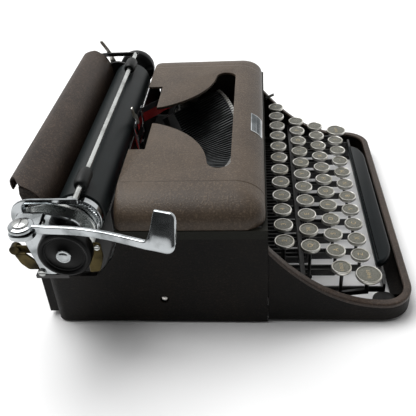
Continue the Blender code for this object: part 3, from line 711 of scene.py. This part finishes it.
angles = np.radians(np.linspace(0, 90, 17))
depths = np.concatenate([[0.0, 0.0], SHOULDER * (1 - np.cos(angles))])
arch = COVER_BASE + SKIRT + (COVER_TOP - COVER_BASE - SKIRT) * np.sin(angles)
lifts = np.concatenate([[COVER_BASE, COVER_BASE + 1], arch])
rings = np.stack([np.column_stack([cover_ring(d), np.full(RING_POINTS, z)]) for d, z in zip(depths, lifts)])
sweep = circle((80, 125), 71.3, 22, 200.2, 262)
notch = [(54, COVER_BACK), (54, 100.8), (13.7, 100.8)]
fan = np.vstack([notch, sweep[1:], circle((72.5, 45.6), 8.5, 12, 88, -82)])
edge = np.vstack([fan * (-1, 1), fan[::-1]])
rows, columns = rings.shape[:2]
top_points = np.column_stack([edge, np.full(len(edge), COVER_TOP)])
last_ring = (rows - 1) * columns
top_face = list(range(last_ring, rows * columns + len(edge)))
cover_skin = (np.vstack([rings.reshape(-1, 3), top_points]), quads(rows, columns, False) + [top_face])
cover = make("cover_pressing", "cover", [(cover_skin, cover_enamel)], ("ribbon_cover",), 32)
shell = cover.modifiers.new("sheet_thickness", "SOLIDIFY")
shell.thickness, shell.offset = 0.002, -1.0
rounding = cover.modifiers.new("cut_edge", "BEVEL")
rounding.width, rounding.segments = 0.0006, 2
rounding.limit_method, rounding.angle_limit = "ANGLE", math.radians(40)
print("cover top is flat from X", -COVER_HALF + SHOULDER, "to", COVER_HALF - SHOULDER)

# %% [markdown]
# A small plate is riveted to the front shoulder. It bends with the pressing, so its middle line follows the
# shoulder's own curve: a plated strip, and on it a slightly smaller and thicker one of dark enamel.


# %% Blank plate on the cover
def shoulder(y):
    """Height of the front shoulder at Y: base + rise x sqrt(1 - (1 - depth / shoulder) ^ 2)."""
    part = 1 - (y - COVER_FRONT) / (FRONT_PART * SHOULDER)
    return COVER_BASE + SKIRT + (COVER_TOP - COVER_BASE - SKIRT) * np.sqrt(1 - part ** 2)


badge = []
for inset, thick, finish in ((0.0, 0.7, chrome), (1.1, 0.95, badge_face)):
    y = np.linspace(14.9 + inset * 0.7, 23.4 - inset, 9)
    middle = np.column_stack([np.full(9, -9.5), y, shoulder(y)])
    half = 14.5 - inset
    section = [(-0.3, -half), (thick, -half), (thick, half), (-0.3, half)]
    badge.append((carried(middle, section, (1, 0, 0)), finish))
make("maker_plate_blank", "cover", badge)
print("plate climbs from", shoulder(14.9).round(1), "to", shoulder(23.4).round(1), "mm")

# %% [markdown]
# ## Keys
#
# A key is a stem on a flat lever, a black cup, a printed card, a domed glass and a nickel ring that crimps
# them together. One routine makes them all: it reads where a key stands from its CAD box. The legend is a
# text curve turned to a mesh, then dropped on the dome: each point takes the height h - k r^2.

# %% Key parts
LEGENDS = {
    "number_row": "234567890-=+", "upper_row": "QWERTYUIOP:",
    "home_row": "ASDFGHJKL;'", "bottom_row": "ZXCVBNM,.?",
}


def dome(top, radius, drop=0.55):
    """Card and glass: flat below, then height = top - drop x (r / radius)^2."""
    r = np.linspace(radius, 0.02, 8)
    rise = top - drop * (r / radius) ** 2
    return np.vstack([[(top - drop - 0.6, radius)], np.stack([rise, r], -1)])


def legend(text, centre, size, top, radius, drop=0.55):
    """Letters as a thin mesh on the dome, written for a reader at the front of the machine."""
    curve = bpy.data.curves.new("legend", "FONT")
    curve.body, curve.size, curve.align_x, curve.align_y = text, size, "CENTER", "CENTER"
    curve.extrude, curve.resolution_u = 0.03, 3
    holder = bpy.data.objects.new("legend", curve)
    bpy.context.scene.collection.objects.link(holder)
    mesh = bpy.data.meshes.new_from_object(holder)
    bpy.data.objects.remove(holder)
    bpy.data.curves.remove(curve)
    points = np.empty(len(mesh.vertices) * 3)
    mesh.vertices.foreach_get("co", points)
    points = points.reshape(-1, 3)
    faces = [list(p.vertices) for p in mesh.polygons]
    bpy.data.meshes.remove(mesh)
    points[:, :2] -= (points[:, :2].min(0) + points[:, :2].max(0)) / 2
    far = np.hypot(points[:, 0], points[:, 1])
    points[:, 2] += top - drop * (far / radius) ** 2 + 0.01
    points[:, :2] += centre
    return points, faces


def round_key(x, y, top, text, size=5.2, radius=7.15):
    """Cup, ring, domed card and legend of one key: (solid, finish) pairs."""
    r, t = radius, top
    cup = [(t - 3.8, r - 1.4), (t - 3.7, r - 1.2), (t - 2.4, r - 0.35), (t - 2.2, r - 0.35), (t - 2.2, 0.5)]
    ring = [
        (t - 2.5, r - 0.75), (t - 2.6, r - 0.2), (t - 2.2, r), (t - 0.75, r), (t - 0.3, r - 0.12),
        (t - 0.02, r - 0.45), (t - 0.02, r - 0.7), (t - 0.25, r - 0.95), (t - 1.4, r - 1.0), (t - 1.5, 0.5),
    ]
    parts = [
        (turned("Z", (x, y), cup, 32), black_japan), (turned("Z", (x, y), ring, 40), nickel),
        (turned("Z", (x, y), dome(t - 0.2, r - 0.97), 40), key_card),
    ]
    if text:
        parts.append((legend(text, (x, y), size, t - 0.2, r - 0.97), key_ink))
    return parts


FULCRUM_GAP = circle((92, 20), 1.9, 7, -90, -270)


def lever_outline(front):
    """Side view of a key lever: a flat strip with an open fork over the fulcrum rod."""
    fork = [(95, 13.5), (95, FULCRUM_GAP[0, 1]), *FULCRUM_GAP, (95, FULCRUM_GAP[-1, 1]), (95, 25)]
    top = [(86, 25), (78, 19.5), (front + 2, 19.5), (front, 17.5)]
    return np.array([(front, 15.5), (front + 2, 13.5), *fork, *top])


print("legends:", sum(len(text) for text in LEGENDS.values()), "characters")

# %% [markdown]
# All forty-four keys come from one loop. A collection instance of one key would be lighter, but every key
# moves on its own and has its own letter and stem length, so each is a mesh of its own.

# %% Keys
for row, text in LEGENDS.items():
    for number, letter in enumerate(text, 1):
        node = f"{row}_key_{number:02d}"
        low, high = machine_box(node)
        x, y, top = (low[0] + high[0]) / 2, low[1] + 7.15, high[2]
        solids = round_key(x, y, top, letter)
        solids.append((turned("Z", (x, y), [(18.0, 1.2), (top - 3.7, 1.2)], 14), black_japan))
        solids.append((plate("X", lever_outline(y - 2.4), x - 0.7, x + 0.7, 0.2), black_japan))
        make(f"{node}_top", node, solids, (node,), 38)
print("keys made:", sum(len(text) for text in LEGENDS.values()))

# %% [markdown]
# ## Shift keys
#
# Both shift keys and the lock stand on one rocking frame: two arms fixed to a cross shaft, so that either
# hand lifts the whole carriage. The keys reuse the routine above, a little larger, and rods and flat links
# join them to the arms.

# %% Shift keys, shift lock and their frame
links = [
    turned("Z", (-109.6, -59), [(15.5, 1.5), (26.8, 1.5)], 16),
    turned("Z", (113.0, -60), [(15.5, 1.5), (26.8, 1.5)], 16),
    turned("Z", (-112.6, -40), [(17, 1.3), (35.2, 1.3)], 16),
    turned("X", (104, 12), [(-118.5, 2.7), (-118.2, 3.0), (118.2, 3.0), (118.5, 2.7)], 20),
    plate("Z", [(-114, -39), (-112, -39), (-108, -60.5), (-111, -60.5)], 14.5, 18.5, 0.2),
]
for x, front in ((-113, -42), (114, -61.5)):
    arm = [(107, 8.5), (107, 15), (60, 15), (50, 19), (front, 19), (front, 13), (50, 13), (60, 9)]
    links.append(plate("X", arm, x - 1, x + 1, 0.25))
shift_parts = round_key(-107, -60, 30.4, "SHIFT", 3.6, 9.3) + round_key(106, -60, 30.4, "SHIFT", 3.6, 9.3)
shift_parts += round_key(-108.5, -40, 38.7, "LOCK", 3.1)
shift_parts += [(link, black_japan) for link in links]
make("shift_keys_and_frame", "shift", shift_parts, ("shift_frame",), 38)
print("shift frame has", len(links), "links")

# %% [markdown]
# ## Space bar
#
# The space bar rocks on a shaft of its own. It is a moulded bar with a straight back and a front that curves
# away at both ends, like a quarter of an ellipse. A cube with a Bevel would round all edges alike; a stack of
# shrinking outlines rounds only the top, more gently than the sides.

# %% Space bar
rounded_end = (86 - 22, -70.6) + circle((0, 0), 1.0, 18, -90, 0) * (22, 12.4)
bar_outline = np.vstack([rounded_end, [(85.6, -70.0), (84.6, -69.6)]])
bar_outline = np.vstack([bar_outline, bar_outline[::-1] * (-1, 1)])
levels = [(0.8, 17.5), (0.0, 18.3), (0.0, 21.2), (0.35, 22.4), (1.1, 23.2), (2.1, 23.5)]
space_parts = [(stacked("Z", bar_outline, levels), bar_bakelite)]
arm = [(84, 7.5), (84, 13), (60, 13), (50, 16), (-73, 16), (-73, 11), (50, 11), (60, 7.5)]
for x in (-104.8, 105.3):
    inner, outer = sorted((math.copysign(70, x), x + math.copysign(0.6, x)))
    strap = [(inner, -73.5), (outer, -73.5), (outer, -71.5), (inner, -71.5)]
    space_parts.append((plate("X", arm, x - 0.75, x + 0.75, 0.2), black_japan))
    space_parts.append((plate("Z", strap, 11.5, 19.0, 0.2), black_japan))
shaft = turned("X", (80, 10), [(-106, 1.3), (-105.8, 1.5), (105.8, 1.5), (106, 1.3)], 14)
space_parts.append((shaft, black_japan))
make("space_bar_and_arms", "space_bar", space_parts, ("space_bar",), 45)
print("space bar is", round(float(np.ptp(bar_outline[:, 0])), 1), "mm wide")

# %% [markdown]
# ## Inner frame
#
# Side plates, comb, ties and carriage rail are one japanned frame. Little of it shows, so its CAD solid is
# softened as it is.

# %% Inner frame
softened("mechanism_frame", "inner_frame", "chassis", black_japan, 0.4)
print("inner frame has", totals["inner_frame"], "faces")

# %% [markdown]
# ## Typebars
#
# Through the fan one sees the typebars at rest, side by side, their heads in an arc at the front. They are
# blanked from strip, so `bars` makes all forty-four at once from two arrays of ends, where an array modifier
# could only repeat one bar at equal steps. A thin second strip on each is its ground upper edge. The slotted
# segment that holds them and the padded rest under their heads follow the same arcs.


# %% Typebars, segment and type rest
def bar_ends(turn):
    """A typebar's pivot and head at rest: both follow the sine and cosine of its angle round the segment."""
    s, c = np.sin(turn), np.cos(turn)
    pivot = np.stack([38 * s, 100 - 19 * c, 96 - 33 * c], -1)
    head = np.stack([78 * s, 32 + 30 * (1 - c), 82 + 11 * (1 - c)], -1)
    return pivot, head


pivots, heads = bar_ends(np.radians(np.linspace(-70, 70, 44)))
lean = heads - pivots
lean /= np.linalg.norm(lean, axis=1, keepdims=True)
slug_lift, edge_lift = (0, 0, 0.2), (0, 0, 1.85)
shanks = bars(pivots + 2.0 * lean, heads - 3.0 * lean, 1.1, 3.6)
edges = bars(pivots + 2.0 * lean + edge_lift, heads - 3.0 * lean + edge_lift, 0.6, 0.35)
slugs = bars(heads - 3.2 * lean + slug_lift, heads - 0.2 * lean + slug_lift, 2.4, 5.4)

roots, tips = bar_ends(np.radians(np.linspace(-74, 74, 60)))
arc_path = roots - 1.5 * (tips - roots) / np.linalg.norm(tips - roots, axis=1, keepdims=True) - (0, 0, 1.2)
segment = carried(arc_path, eased([(-4.5, -4.0), (4.5, -4.0), (4.5, 3.6), (-4.5, 3.6)], 0.6, 2))
inner_rest, outer_rest = bar_ends(np.radians(np.linspace(-72, 72, 60)))
rest_path = inner_rest + 0.86 * (outer_rest - inner_rest) - (0, 0, 3.3)
rest = carried(rest_path, eased([(-3.0, -1.2), (3.0, -1.2), (3.0, 1.2), (-3.0, 1.2)], 0.4, 2))
post = plate("X", [(81, 52.3), (95, 52.3), (95, 62), (81, 62)], -16, 16, 0.4)

works = [
    (shanks, typebar_black), (edges, typebar_edge), (slugs, spool_steel),
    (segment, typebar_black), (rest, typebar_black), (post, black_japan),
]
for left, right_end, shield_top in ((20, 119, 97), (-119, -20, 97), (-20, 20, 79)):
    shield = [(left, 60), (right_end, 60), (right_end, shield_top), (left, shield_top)]
    works.append((plate("Y", shield, 115.0, 116.0, 0.2), black_japan))
works.append((bars([(87, 2.5, 79.5)], [(87, 12.5, 74.5)], 2.6, 1.4), chrome))
make("typebars_and_segment", "chassis", works, ("type_basket",), 30)
print("typebars:", len(pivots))

# %% [markdown]
# ## Ribbon
#
# The ribbon is a two-colour strip of cotton, 13 mm wide. It leaves one spool, passes through the guides
# before the roller, and winds on the other. It could be a curve with a flat profile, but a curve twists at
# its bends; here its path is one smooth line, and a thin section that stays upright is carried along it.

# %% Ribbon
THIN = 0.12
ribbon_half = np.array([(112, 88), (92, 98), (70, 103.2), (48, 106), (30, 110.6), (17, 115.0), (8, 116.2)])
ribbon_plan = smooth_path(np.vstack([ribbon_half, ribbon_half[::-1] * (-1, 1)]), 6)
dip = np.clip((np.abs(ribbon_plan[:, 0]) - 17) / 75.0, 0, 1)
ribbon_path = np.column_stack([ribbon_plan, 97.5 - 22.0 * dip ** 1.2])
for name, low, high, cloth in (("black", 0.02, 5.0, ribbon_black), ("red", -8.0, -0.02, ribbon_red)):
    strip = carried(ribbon_path, [(-THIN, low), (THIN, low), (THIN, high), (-THIN, high)])
    make(f"ribbon_{name}_half", "chassis", [(strip, cloth)], sharp=60)
print("ribbon hangs", round(float(np.ptp(ribbon_path[:, 2])), 1), "mm lower at the spools")

# %% [markdown]
# ## Ribbon vibrator and spools
#
# The vibrator is a plated fork that lifts the ribbon in front of the roller, with a bent finger that leads
# the paper. All its parts are flat blanks. The spools behind it are tinned steel: two flanges, a hub and a
# cap, so one turned profile makes each.

# %% Vibrator
fork_shape = np.array([(10, 84), (16.5, 84), (16.5, 105), (15, 106.5), (11, 106.5), (10, 105)])
foot_bar = [(-16.5, 80), (16.5, 80), (16.5, 84.5), (-16.5, 84.5)]
stem = [(110, 60), (114, 60), (114, 82), (112.5, 82)]
finger = eased([
    (-12, 103), (-7, 103), (-12, 112), (-19, 117), (-24, 125), (-27, 124), (-23.5, 115.5), (-16, 110),
], 1.6, 3)
vibrator = [
    (plate("Y", (fork_shape * (-1, 1))[::-1], 113.2, 114.2, 0.2), chrome),
    (plate("Y", fork_shape, 113.2, 114.2, 0.2), chrome),
    (plate("Y", foot_bar, 113.2, 114.2, 0.2), chrome),
    (plate("X", stem, -2, 2, 0.3), black_japan),
    (plate("Y", finger, 112.2, 113.3, 0.2), nickel),
]
make("ribbon_vibrator", "chassis", vibrator)
print("vibrator plates:", len(vibrator))

# %% [markdown]
# A spool's profile runs up the outside: lower flange, hub, upper flange, then the cap of its drive shaft.

# %% Spools
spool = [
    (60.0, 4), (60.0, 19.6), (60.3, 20), (61.0, 20), (61.2, 19.6), (61.2, 16.5), (73.0, 16.5), (73.0, 19.6),
    (73.3, 20), (74.0, 20), (74.2, 19.6), (74.2, 4.2), (77.6, 4.0), (78.0, 3.2), (78.0, 0.5),
]
for side, x in (("left", -96.0), ("right", 96.0)):
    wound = [(turned("Z", (x, 78), spool, 40), spool_steel)]
    make(f"{side}_spool", f"spool_{side}", wound, (f"ribbon_spool_{side}",))
print("spool flanges are", 2 * max(radius for _, radius in spool), "mm across")

# %% [markdown]
# ## Carriage frame
#
# The carriage carries the roller and everything that holds paper. The truck is a steel channel, so a softened
# CAD copy serves. The end plates are blanked from sheet and plated: flat outlines with rounded corners, which
# catch a line of light along every broken edge. One is chrome, since it faces the typist's hand.

# %% Carriage truck and plates
softened("carriage_truck", "truck_channel", "carriage", bail_steel, 0.4)
inner_shape = eased([
    (141, 64.5), (163, 64.5), (169, 80), (170, 103), (163, 112), (146, 115.5), (128, 109), (121.5, 98),
    (123, 84), (134, 76),
], 4.0, 4)
outer_shape = eased([
    (147, 68), (158, 68), (163, 90), (166, 112), (164, 117), (146, 117), (128, 110.5), (121.8, 98),
    (124, 86), (136, 80),
], 4.0, 4)
lever_seat = eased([(-172, 147), (-147, 147), (-147, 163), (-172, 163)], (7, 0.5, 0.5, 7), 6)
plates = [
    (plate("X", inner_shape, -136, -133.5, 0.35), bail_steel),
    (plate("X", outer_shape, -149, -147, 0.35), chrome),
    (plate("X", inner_shape, 89, 91.5, 0.35), black_japan),
    (plate("Z", lever_seat, 113.6, 117, 0.4), chrome),
    (plate("Z", [(-148.9, 141), (91.4, 141), (91.4, 163), (-148.9, 163)], 64.5, 67.5, 0.4), black_japan),
    (plate("Y", [(-133.6, 66), (89.1, 66), (89.1, 84), (-133.6, 84)], 160, 163, 0.4), black_japan),
]
make("carriage_plates", "carriage_top", plates, ("carriage_frame",), 35)
print("carriage plates:", len(plates))

# %% [markdown]
# Screws, brackets and a spring drum are added where a hand would look for them. A cheese-head screw is a
# short turned head; its slot could be cut with a Boolean, but a dark bar just proud of it reads the same.


# %% Screws and brackets
def slotted_screw(axis, centre, face, out, radius=2.6):
    """A cheese-head screw: a turned head standing out of a face, with a dark bar for its slot."""
    side, top = face + out * 1.2, face + out * 1.6
    head = [(face, radius), (side, radius), (top, radius - 0.35), (top, 0.05)]
    half, wide = radius * 0.85, 0.4
    slot = np.array([(-half, -wide), (half, -wide), (half, wide), (-half, wide)]) + centre
    low, high = sorted((face + out * 1.3, face + out * 1.63))
    return [(turned(axis, centre, head, 24), bail_steel), (plate(axis, slot, low, high, 0.02), black_japan)]


extras = []
for y, z in ((158, 70), (161, 104), (150, 111)):
    extras += slotted_screw("X", (y, z), -149, -1)
    extras += slotted_screw("X", (y - 1, z - 2), 91.5, 1, 2.2)
for x in (-120, -60, 0, 60):
    extras += slotted_screw("Z", (x, 155), 67.5, 1, 2.4)
rear_bracket = [(175.5, 81.2), (168, 82), (160, 73), (160, 68.5), (168.4, 68.5), (172.7, 73.4)]
front_bracket = [(122.5, 91), (117.6, 89.5), (117.2, 79), (121, 67), (128, 66), (127, 78)]
for bracket in (rear_bracket, front_bracket):
    extras.append((plate("X", eased(bracket, 1.5, 3), -145.0, -143.4, 0.3), old_brass))
extras += slotted_screw("X", (119.8, 87.5), -145.0, -1, 1.9)
drum_hook = eased([(160, 79), (178, 79), (178, 85), (160, 85)], 2.0, 3)
spring_drum = turned("X", (176, 82), [(-142, 0.5), (-142, 3.6), (-137, 3.6), (-136.6, 0.5)], 20)
extras += [(spring_drum, old_brass), (plate("X", drum_hook, -141.0, -139.5, 0.3), old_brass)]
make("carriage_screws_and_brackets", "carriage_top", extras)
print("screws and brackets:", len(extras), "solids")

# %% [markdown]
# ## Platen and knobs
#
# The roller is turned on one axis: a rubber tube, a fine toothed wheel and a plated drum at its left end, and
# a dished bakelite knob with a plated hub at each end. `turned` can lower the radius tooth by tooth, which
# saves cutting forty-eight notches with Booleans.

# %% Platen, ratchet and knobs
PLATEN_AXIS = (133.6, 98.3)
KNOB = [
    (-0.4, 4.6), (0.2, 5.6), (1.6, 9.4), (2.0, 11.6), (1.6, 11.9), (1.5, 12.6), (0.4, 13.4), (0.0, 14.4),
    (0.35, 15.6), (1.2, 16.25), (2.2, 16.4),
    (8.6, 16.4), (9.6, 16.0), (12.6, 12.4), (14.2, 10.6), (16.1, 9.0), (16.1, 3.3),
]
HUB = [(-1.8, 0.05), (-1.7, 2.0), (-1.3, 2.9), (-0.9, 3.4), (-0.9, 4.3), (-0.4, 4.6), (1.6, 4.6)]
roller = []
for face, inwards in ((-166.6, 1), (119.1, -1)):
    for profile, finish, sides in ((KNOB, knob_bakelite, 64), (HUB, chrome, 48)):
        placed = [(face + inwards * along, radius) for along, radius in profile]
        roller.append((turned("X", PLATEN_AXIS, placed, sides), finish))
rubber = [(-124.9, 3.0), (-124.9, 15.9), (-124.3, 16.5), (85.4, 16.5), (86.0, 15.9), (86.0, 3.0)]
wheel = [(-132.9, 3.2), (-132.9, 14.6), (-132.7, 14.8), (-131.3, 14.8), (-131.1, 14.6), (-131.1, 3.2)]
drum = [
    (-131.0, 3), (-131.0, 15.2), (-130.6, 15.6), (-126.4, 15.8), (-126.0, 15.5), (-125.0, 12.6), (-124.9, 3),
]
roller += [
    (turned("X", PLATEN_AXIS, rubber, 96), platen_rubber),
    (turned("X", PLATEN_AXIS, [(-151, 3.2), (98, 3.2)], 24), bail_steel),
    (turned("X", PLATEN_AXIS, wheel, 192, 48, 0.9), chrome),
    (turned("X", PLATEN_AXIS, drum, 96), chrome),
    (turned("X", PLATEN_AXIS, [(86.0, 3), (86.0, 13), (88, 13), (88, 3)], 48), chrome),
]
make("platen_and_knobs", "platen", roller, ("platen",), 30)
print("roller is", rubber[-1][0] - rubber[0][0], "mm long")

# %% [markdown]
# ## Paper table
#
# The paper leans on a sheet behind the roller, rolled over at the top so that its edge can't cut. A plane
# with a Simple Deform could bend once, but this one bends twice, so its side view is one smooth line, given
# its thickness by moving each point to both sides along the line's normal. The rolled part is narrower than
# the rest, and a small gusset closes the near end.

# %% Paper table
HALF_SHEET = 0.6
sheet_line = smooth_path([
    (151.5, 84), (151.7, 104), (153.2, 114), (156.8, 120.5), (162.2, 124.8), (168.2, 127.4), (171.6, 127.2),
    (173.6, 125.0), (174.0, 121.6), (173.4, 118.2),
], 5)
gap = np.gradient(sheet_line, axis=0)
gap /= np.linalg.norm(gap, axis=1, keepdims=True)
out_of_sheet = HALF_SHEET * np.stack([-gap[:, 1], gap[:, 0]], -1)
skin_line = np.vstack([sheet_line + out_of_sheet, (sheet_line - out_of_sheet)[::-1]])
trim = 8.5 * np.clip((skin_line[:, 0] - 165.0) / 6.0, 0, 1)
left_edge = np.column_stack([-133.0 + trim, skin_line])
right_edge = np.column_stack([88.5 - trim, skin_line])
sheet = closed(np.stack([left_edge, right_edge]))
gusset = plate("X", [
    (152.0, 104), (153.0, 114), (156.8, 120.2), (162.2, 124.4), (165.6, 126.0), (166.4, 120),
    (165, 112), (159, 105),
], -133.0, -131.8, 0.3)
table_parts = [(sheet, table_enamel), (gusset, table_enamel)]
table = make("paper_table_sheet", "carriage_top", table_parts, ("paper_table",), 35)
rolled = table.modifiers.new("rolled_edge", "BEVEL")
rolled.width, rolled.segments = 0.0004, 2
rolled.limit_method, rolled.angle_limit = "ANGLE", math.radians(50)
print("paper table is", round(float(left_edge[:, 2].max()), 1), "mm high at its roll")

# %% [markdown]
# ## Paper bail
#
# A drawn steel rod holds the paper against the roller, with two barrel-shaped rubber rollers that a typist
# slides along it. Its arms reach back past the paper table to their pivots. The arms are one outline, plated
# on the near side and black on the far one.

# %% Paper bail
BAIL_AXIS = (129.3, 120.6)
rod = turned("X", BAIL_AXIS, [(-141.4, 1.5), (-141.1, 1.8), (92.9, 1.8), (93.2, 1.5)], 28)
bail = [(rod, bail_steel)]
barrel = np.array([(9, 1.8), (9, 3.6), (8.4, 4.2), (6, 4.8)])
tread = np.vstack([barrel * (-1, 1), barrel[::-1]])
for x in (-116.7, 66.0):
    bail.append((turned("X", BAIL_AXIS, tread + (x, 0), 32), roller_rubber))
arm_line = eased([
    (126.8, 118.8), (126.8, 122.4), (161, 122.4), (168.5, 118.5), (171.5, 110), (170.5, 102.5), (163, 102.5),
    (162.5, 112), (158, 118.8),
], (1.5, 1.5, 5, 5, 6, 3, 2, 5, 3), 4)
bail.append((plate("X", arm_line, -142.5, -140.5, 0.35), chrome))
bail.append((plate("X", arm_line, 92.2, 93.7, 0.3), black_japan))
bail += slotted_screw("X", (166, 106), -142.4, -1, 2.6)
make("paper_bail_and_rollers", "paper_bail", bail, ("paper_bail",))
print("bail parts:", len(bail))

# %% [markdown]
# ## Return lever
#
# The lever is a bar on edge that sweeps forward over the left knob and then turns up into a flat finger
# piece, which leans in over the machine. It is one section carried along a plan line; only its height
# changes, from a bar 6 mm tall to a tab 22 mm tall, by the smooth step r^5 (6 - 5 r). Plating makes any kink
# show, so the line is a smooth curve, and stations crowd together where the height changes.

# %% Return lever blade
LEVER_PIVOT = (-164.5, 155.4)
lever_plan = smooth_path([
    (-164.5, 153.4), (-166.0, 138), (-167.5, 122), (-171.0, 106), (-176.0, 91), (-181.5, 75.5),
    (-185.4, 62.6),
], 14)
lengths = np.concatenate([[0], np.cumsum(np.linalg.norm(np.diff(lever_plan, axis=0), axis=1))])
steps = np.concatenate([
    np.linspace(0, 0.76, 50), np.linspace(0.764, 0.875, 40), np.linspace(0.88, 0.93, 8),
    np.linspace(0.933, 1.0, 30),
])
lever_plan = np.column_stack([np.interp(steps * lengths[-1], lengths, lever_plan[:, i]) for i in range(2)])
rise = np.clip((steps - 0.77) / 0.1, 0, 1)
rise = rise ** 5 * (6 - 5 * rise)


def quarter_round(start):
    """How far a corner has turned in from a station to the tip: 1 - sqrt(1 - part^2)."""
    return 1 - np.sqrt(np.maximum(1 - np.clip((steps - start) / (1 - start), 0, 1) ** 2, 0))


top_of = 120.6 + 16.9 * rise - 3.0 * quarter_round(0.965)
foot_of = 115.0 + 0.6 * np.sin(np.pi * steps) + 7.0 * quarter_round(0.93)
print("blade grows from", (top_of - foot_of)[0].round(1), "to", (top_of - foot_of).max().round(1), "mm tall")

# %% [markdown]
# The section is a rounded oblong: powers of the cosine and sine below 1 push a circle out towards a square.
# Each ring stands across the plan line, and its upper points are moved back and inwards, so that the finger
# piece leans. Without that lean the plating would mirror the sky and look white instead of dark.

# %% Return lever
tangent = np.gradient(lever_plan, axis=0)
tangent /= np.linalg.norm(tangent, axis=1, keepdims=True)
normal = np.stack([tangent[:, 1], -tangent[:, 0]], -1)[:, None, :]
phase = np.linspace(0, 2 * np.pi, 28, endpoint=False)
across = np.sign(np.cos(phase)) * np.abs(np.cos(phase)) ** 0.5
rising = np.sign(np.sin(phase)) * np.abs(np.sin(phase)) ** 0.3
z = (foot_of + top_of)[:, None] / 2 + (top_of - foot_of)[:, None] / 2 * rising[None, :]
lean_back = -0.12 * np.clip(z - 121.0, 0, None)
lean_in = -0.42 * np.clip(z - 119.5, 0, None) * np.clip((steps[:, None] - 0.78) / 0.06, 0, 1)
xy = lever_plan[:, None, :] + normal * (across * 1.5)[None, :, None]
xy = xy + tangent[:, None, :] * lean_back[..., None] + normal * lean_in[..., None]
blade = closed(np.concatenate([xy, z[..., None]], -1))
boss = turned("Z", LEVER_PIVOT, [(117.8, 6.9), (118.3, 7.5), (120.1, 7.5), (120.6, 7.0), (120.6, 0.1)], 40)
lever_parts = [(blade, chrome), (boss, chrome)] + slotted_screw("Z", LEVER_PIVOT, 120.4, 1, 4.8)
make("carriage_return_lever", "return_lever", lever_parts, ("return_lever",), 50)
print("lever reaches", round(float(lengths[-1]), 1), "mm from its pivot, along its curve")

# %% [markdown]
# ## Paper release lever
#
# At the far end a bent finger piece frees the paper. It is a flat blank with a stud through it, so one
# outline and one turned profile make it.

# %% Paper release lever
release = eased([
    (146.6, 107), (148.5, 104.6), (151.5, 104.6), (153.4, 107), (155.6, 122), (161.4, 131.6), (160.8, 133.4),
    (159, 133.2), (152.6, 123.6),
], (1.5, 1.5, 1.5, 1.5, 5, 0.8, 0.8, 0.8, 5), 4)
stud = turned("X", (150, 108), [(91.8, 2.2), (91.9, 2.4), (95.9, 2.4), (96.2, 2.0), (96.2, 0.05)], 24)
release_parts = [(plate("X", release, 94.2, 95.8, 0.35), nickel), (stud, nickel)]
make("paper_release", "paper_release", release_parts, ("paper_release_lever",))
print("release lever is", round(float(np.ptp(release[:, 1])), 1), "mm tall")

# %% [markdown]
# ## Floor
#
# The machine stands on a plain pale floor, large enough to fill the view.

# %% Floor
floor_paper, _ = blank("pale_paper_floor", Base_Color=(0.95, 0.95, 0.95, 1.0), Roughness=0.9)
floor_mesh = bpy.data.meshes.new("studio_floor")
floor_mesh.from_pydata([(-4, -4, 0), (6, -4, 0), (6, 4, 0), (-4, 4, 0)], [], [(0, 1, 2, 3)])
floor_mesh.materials.append(floor_paper)
floor = bpy.data.objects.new("studio_floor", floor_mesh)
bpy.context.scene.collection.objects.link(floor)
print("pieces:", len(totals), "with", sum(totals.values()), "faces before modifiers")

# %% [markdown]
# ## Sizes
#
# Last, the box around the finished pieces is measured.

# %% Sizes and finish
visual_low = np.full(3, np.inf)
visual_high = -visual_low
for name in totals:
    corners = np.empty(len(bpy.data.objects[name].data.vertices) * 3)
    bpy.data.objects[name].data.vertices.foreach_get("co", corners)
    visual_low = np.minimum(visual_low, corners.reshape(-1, 3).min(0))
    visual_high = np.maximum(visual_high, corners.reshape(-1, 3).max(0))
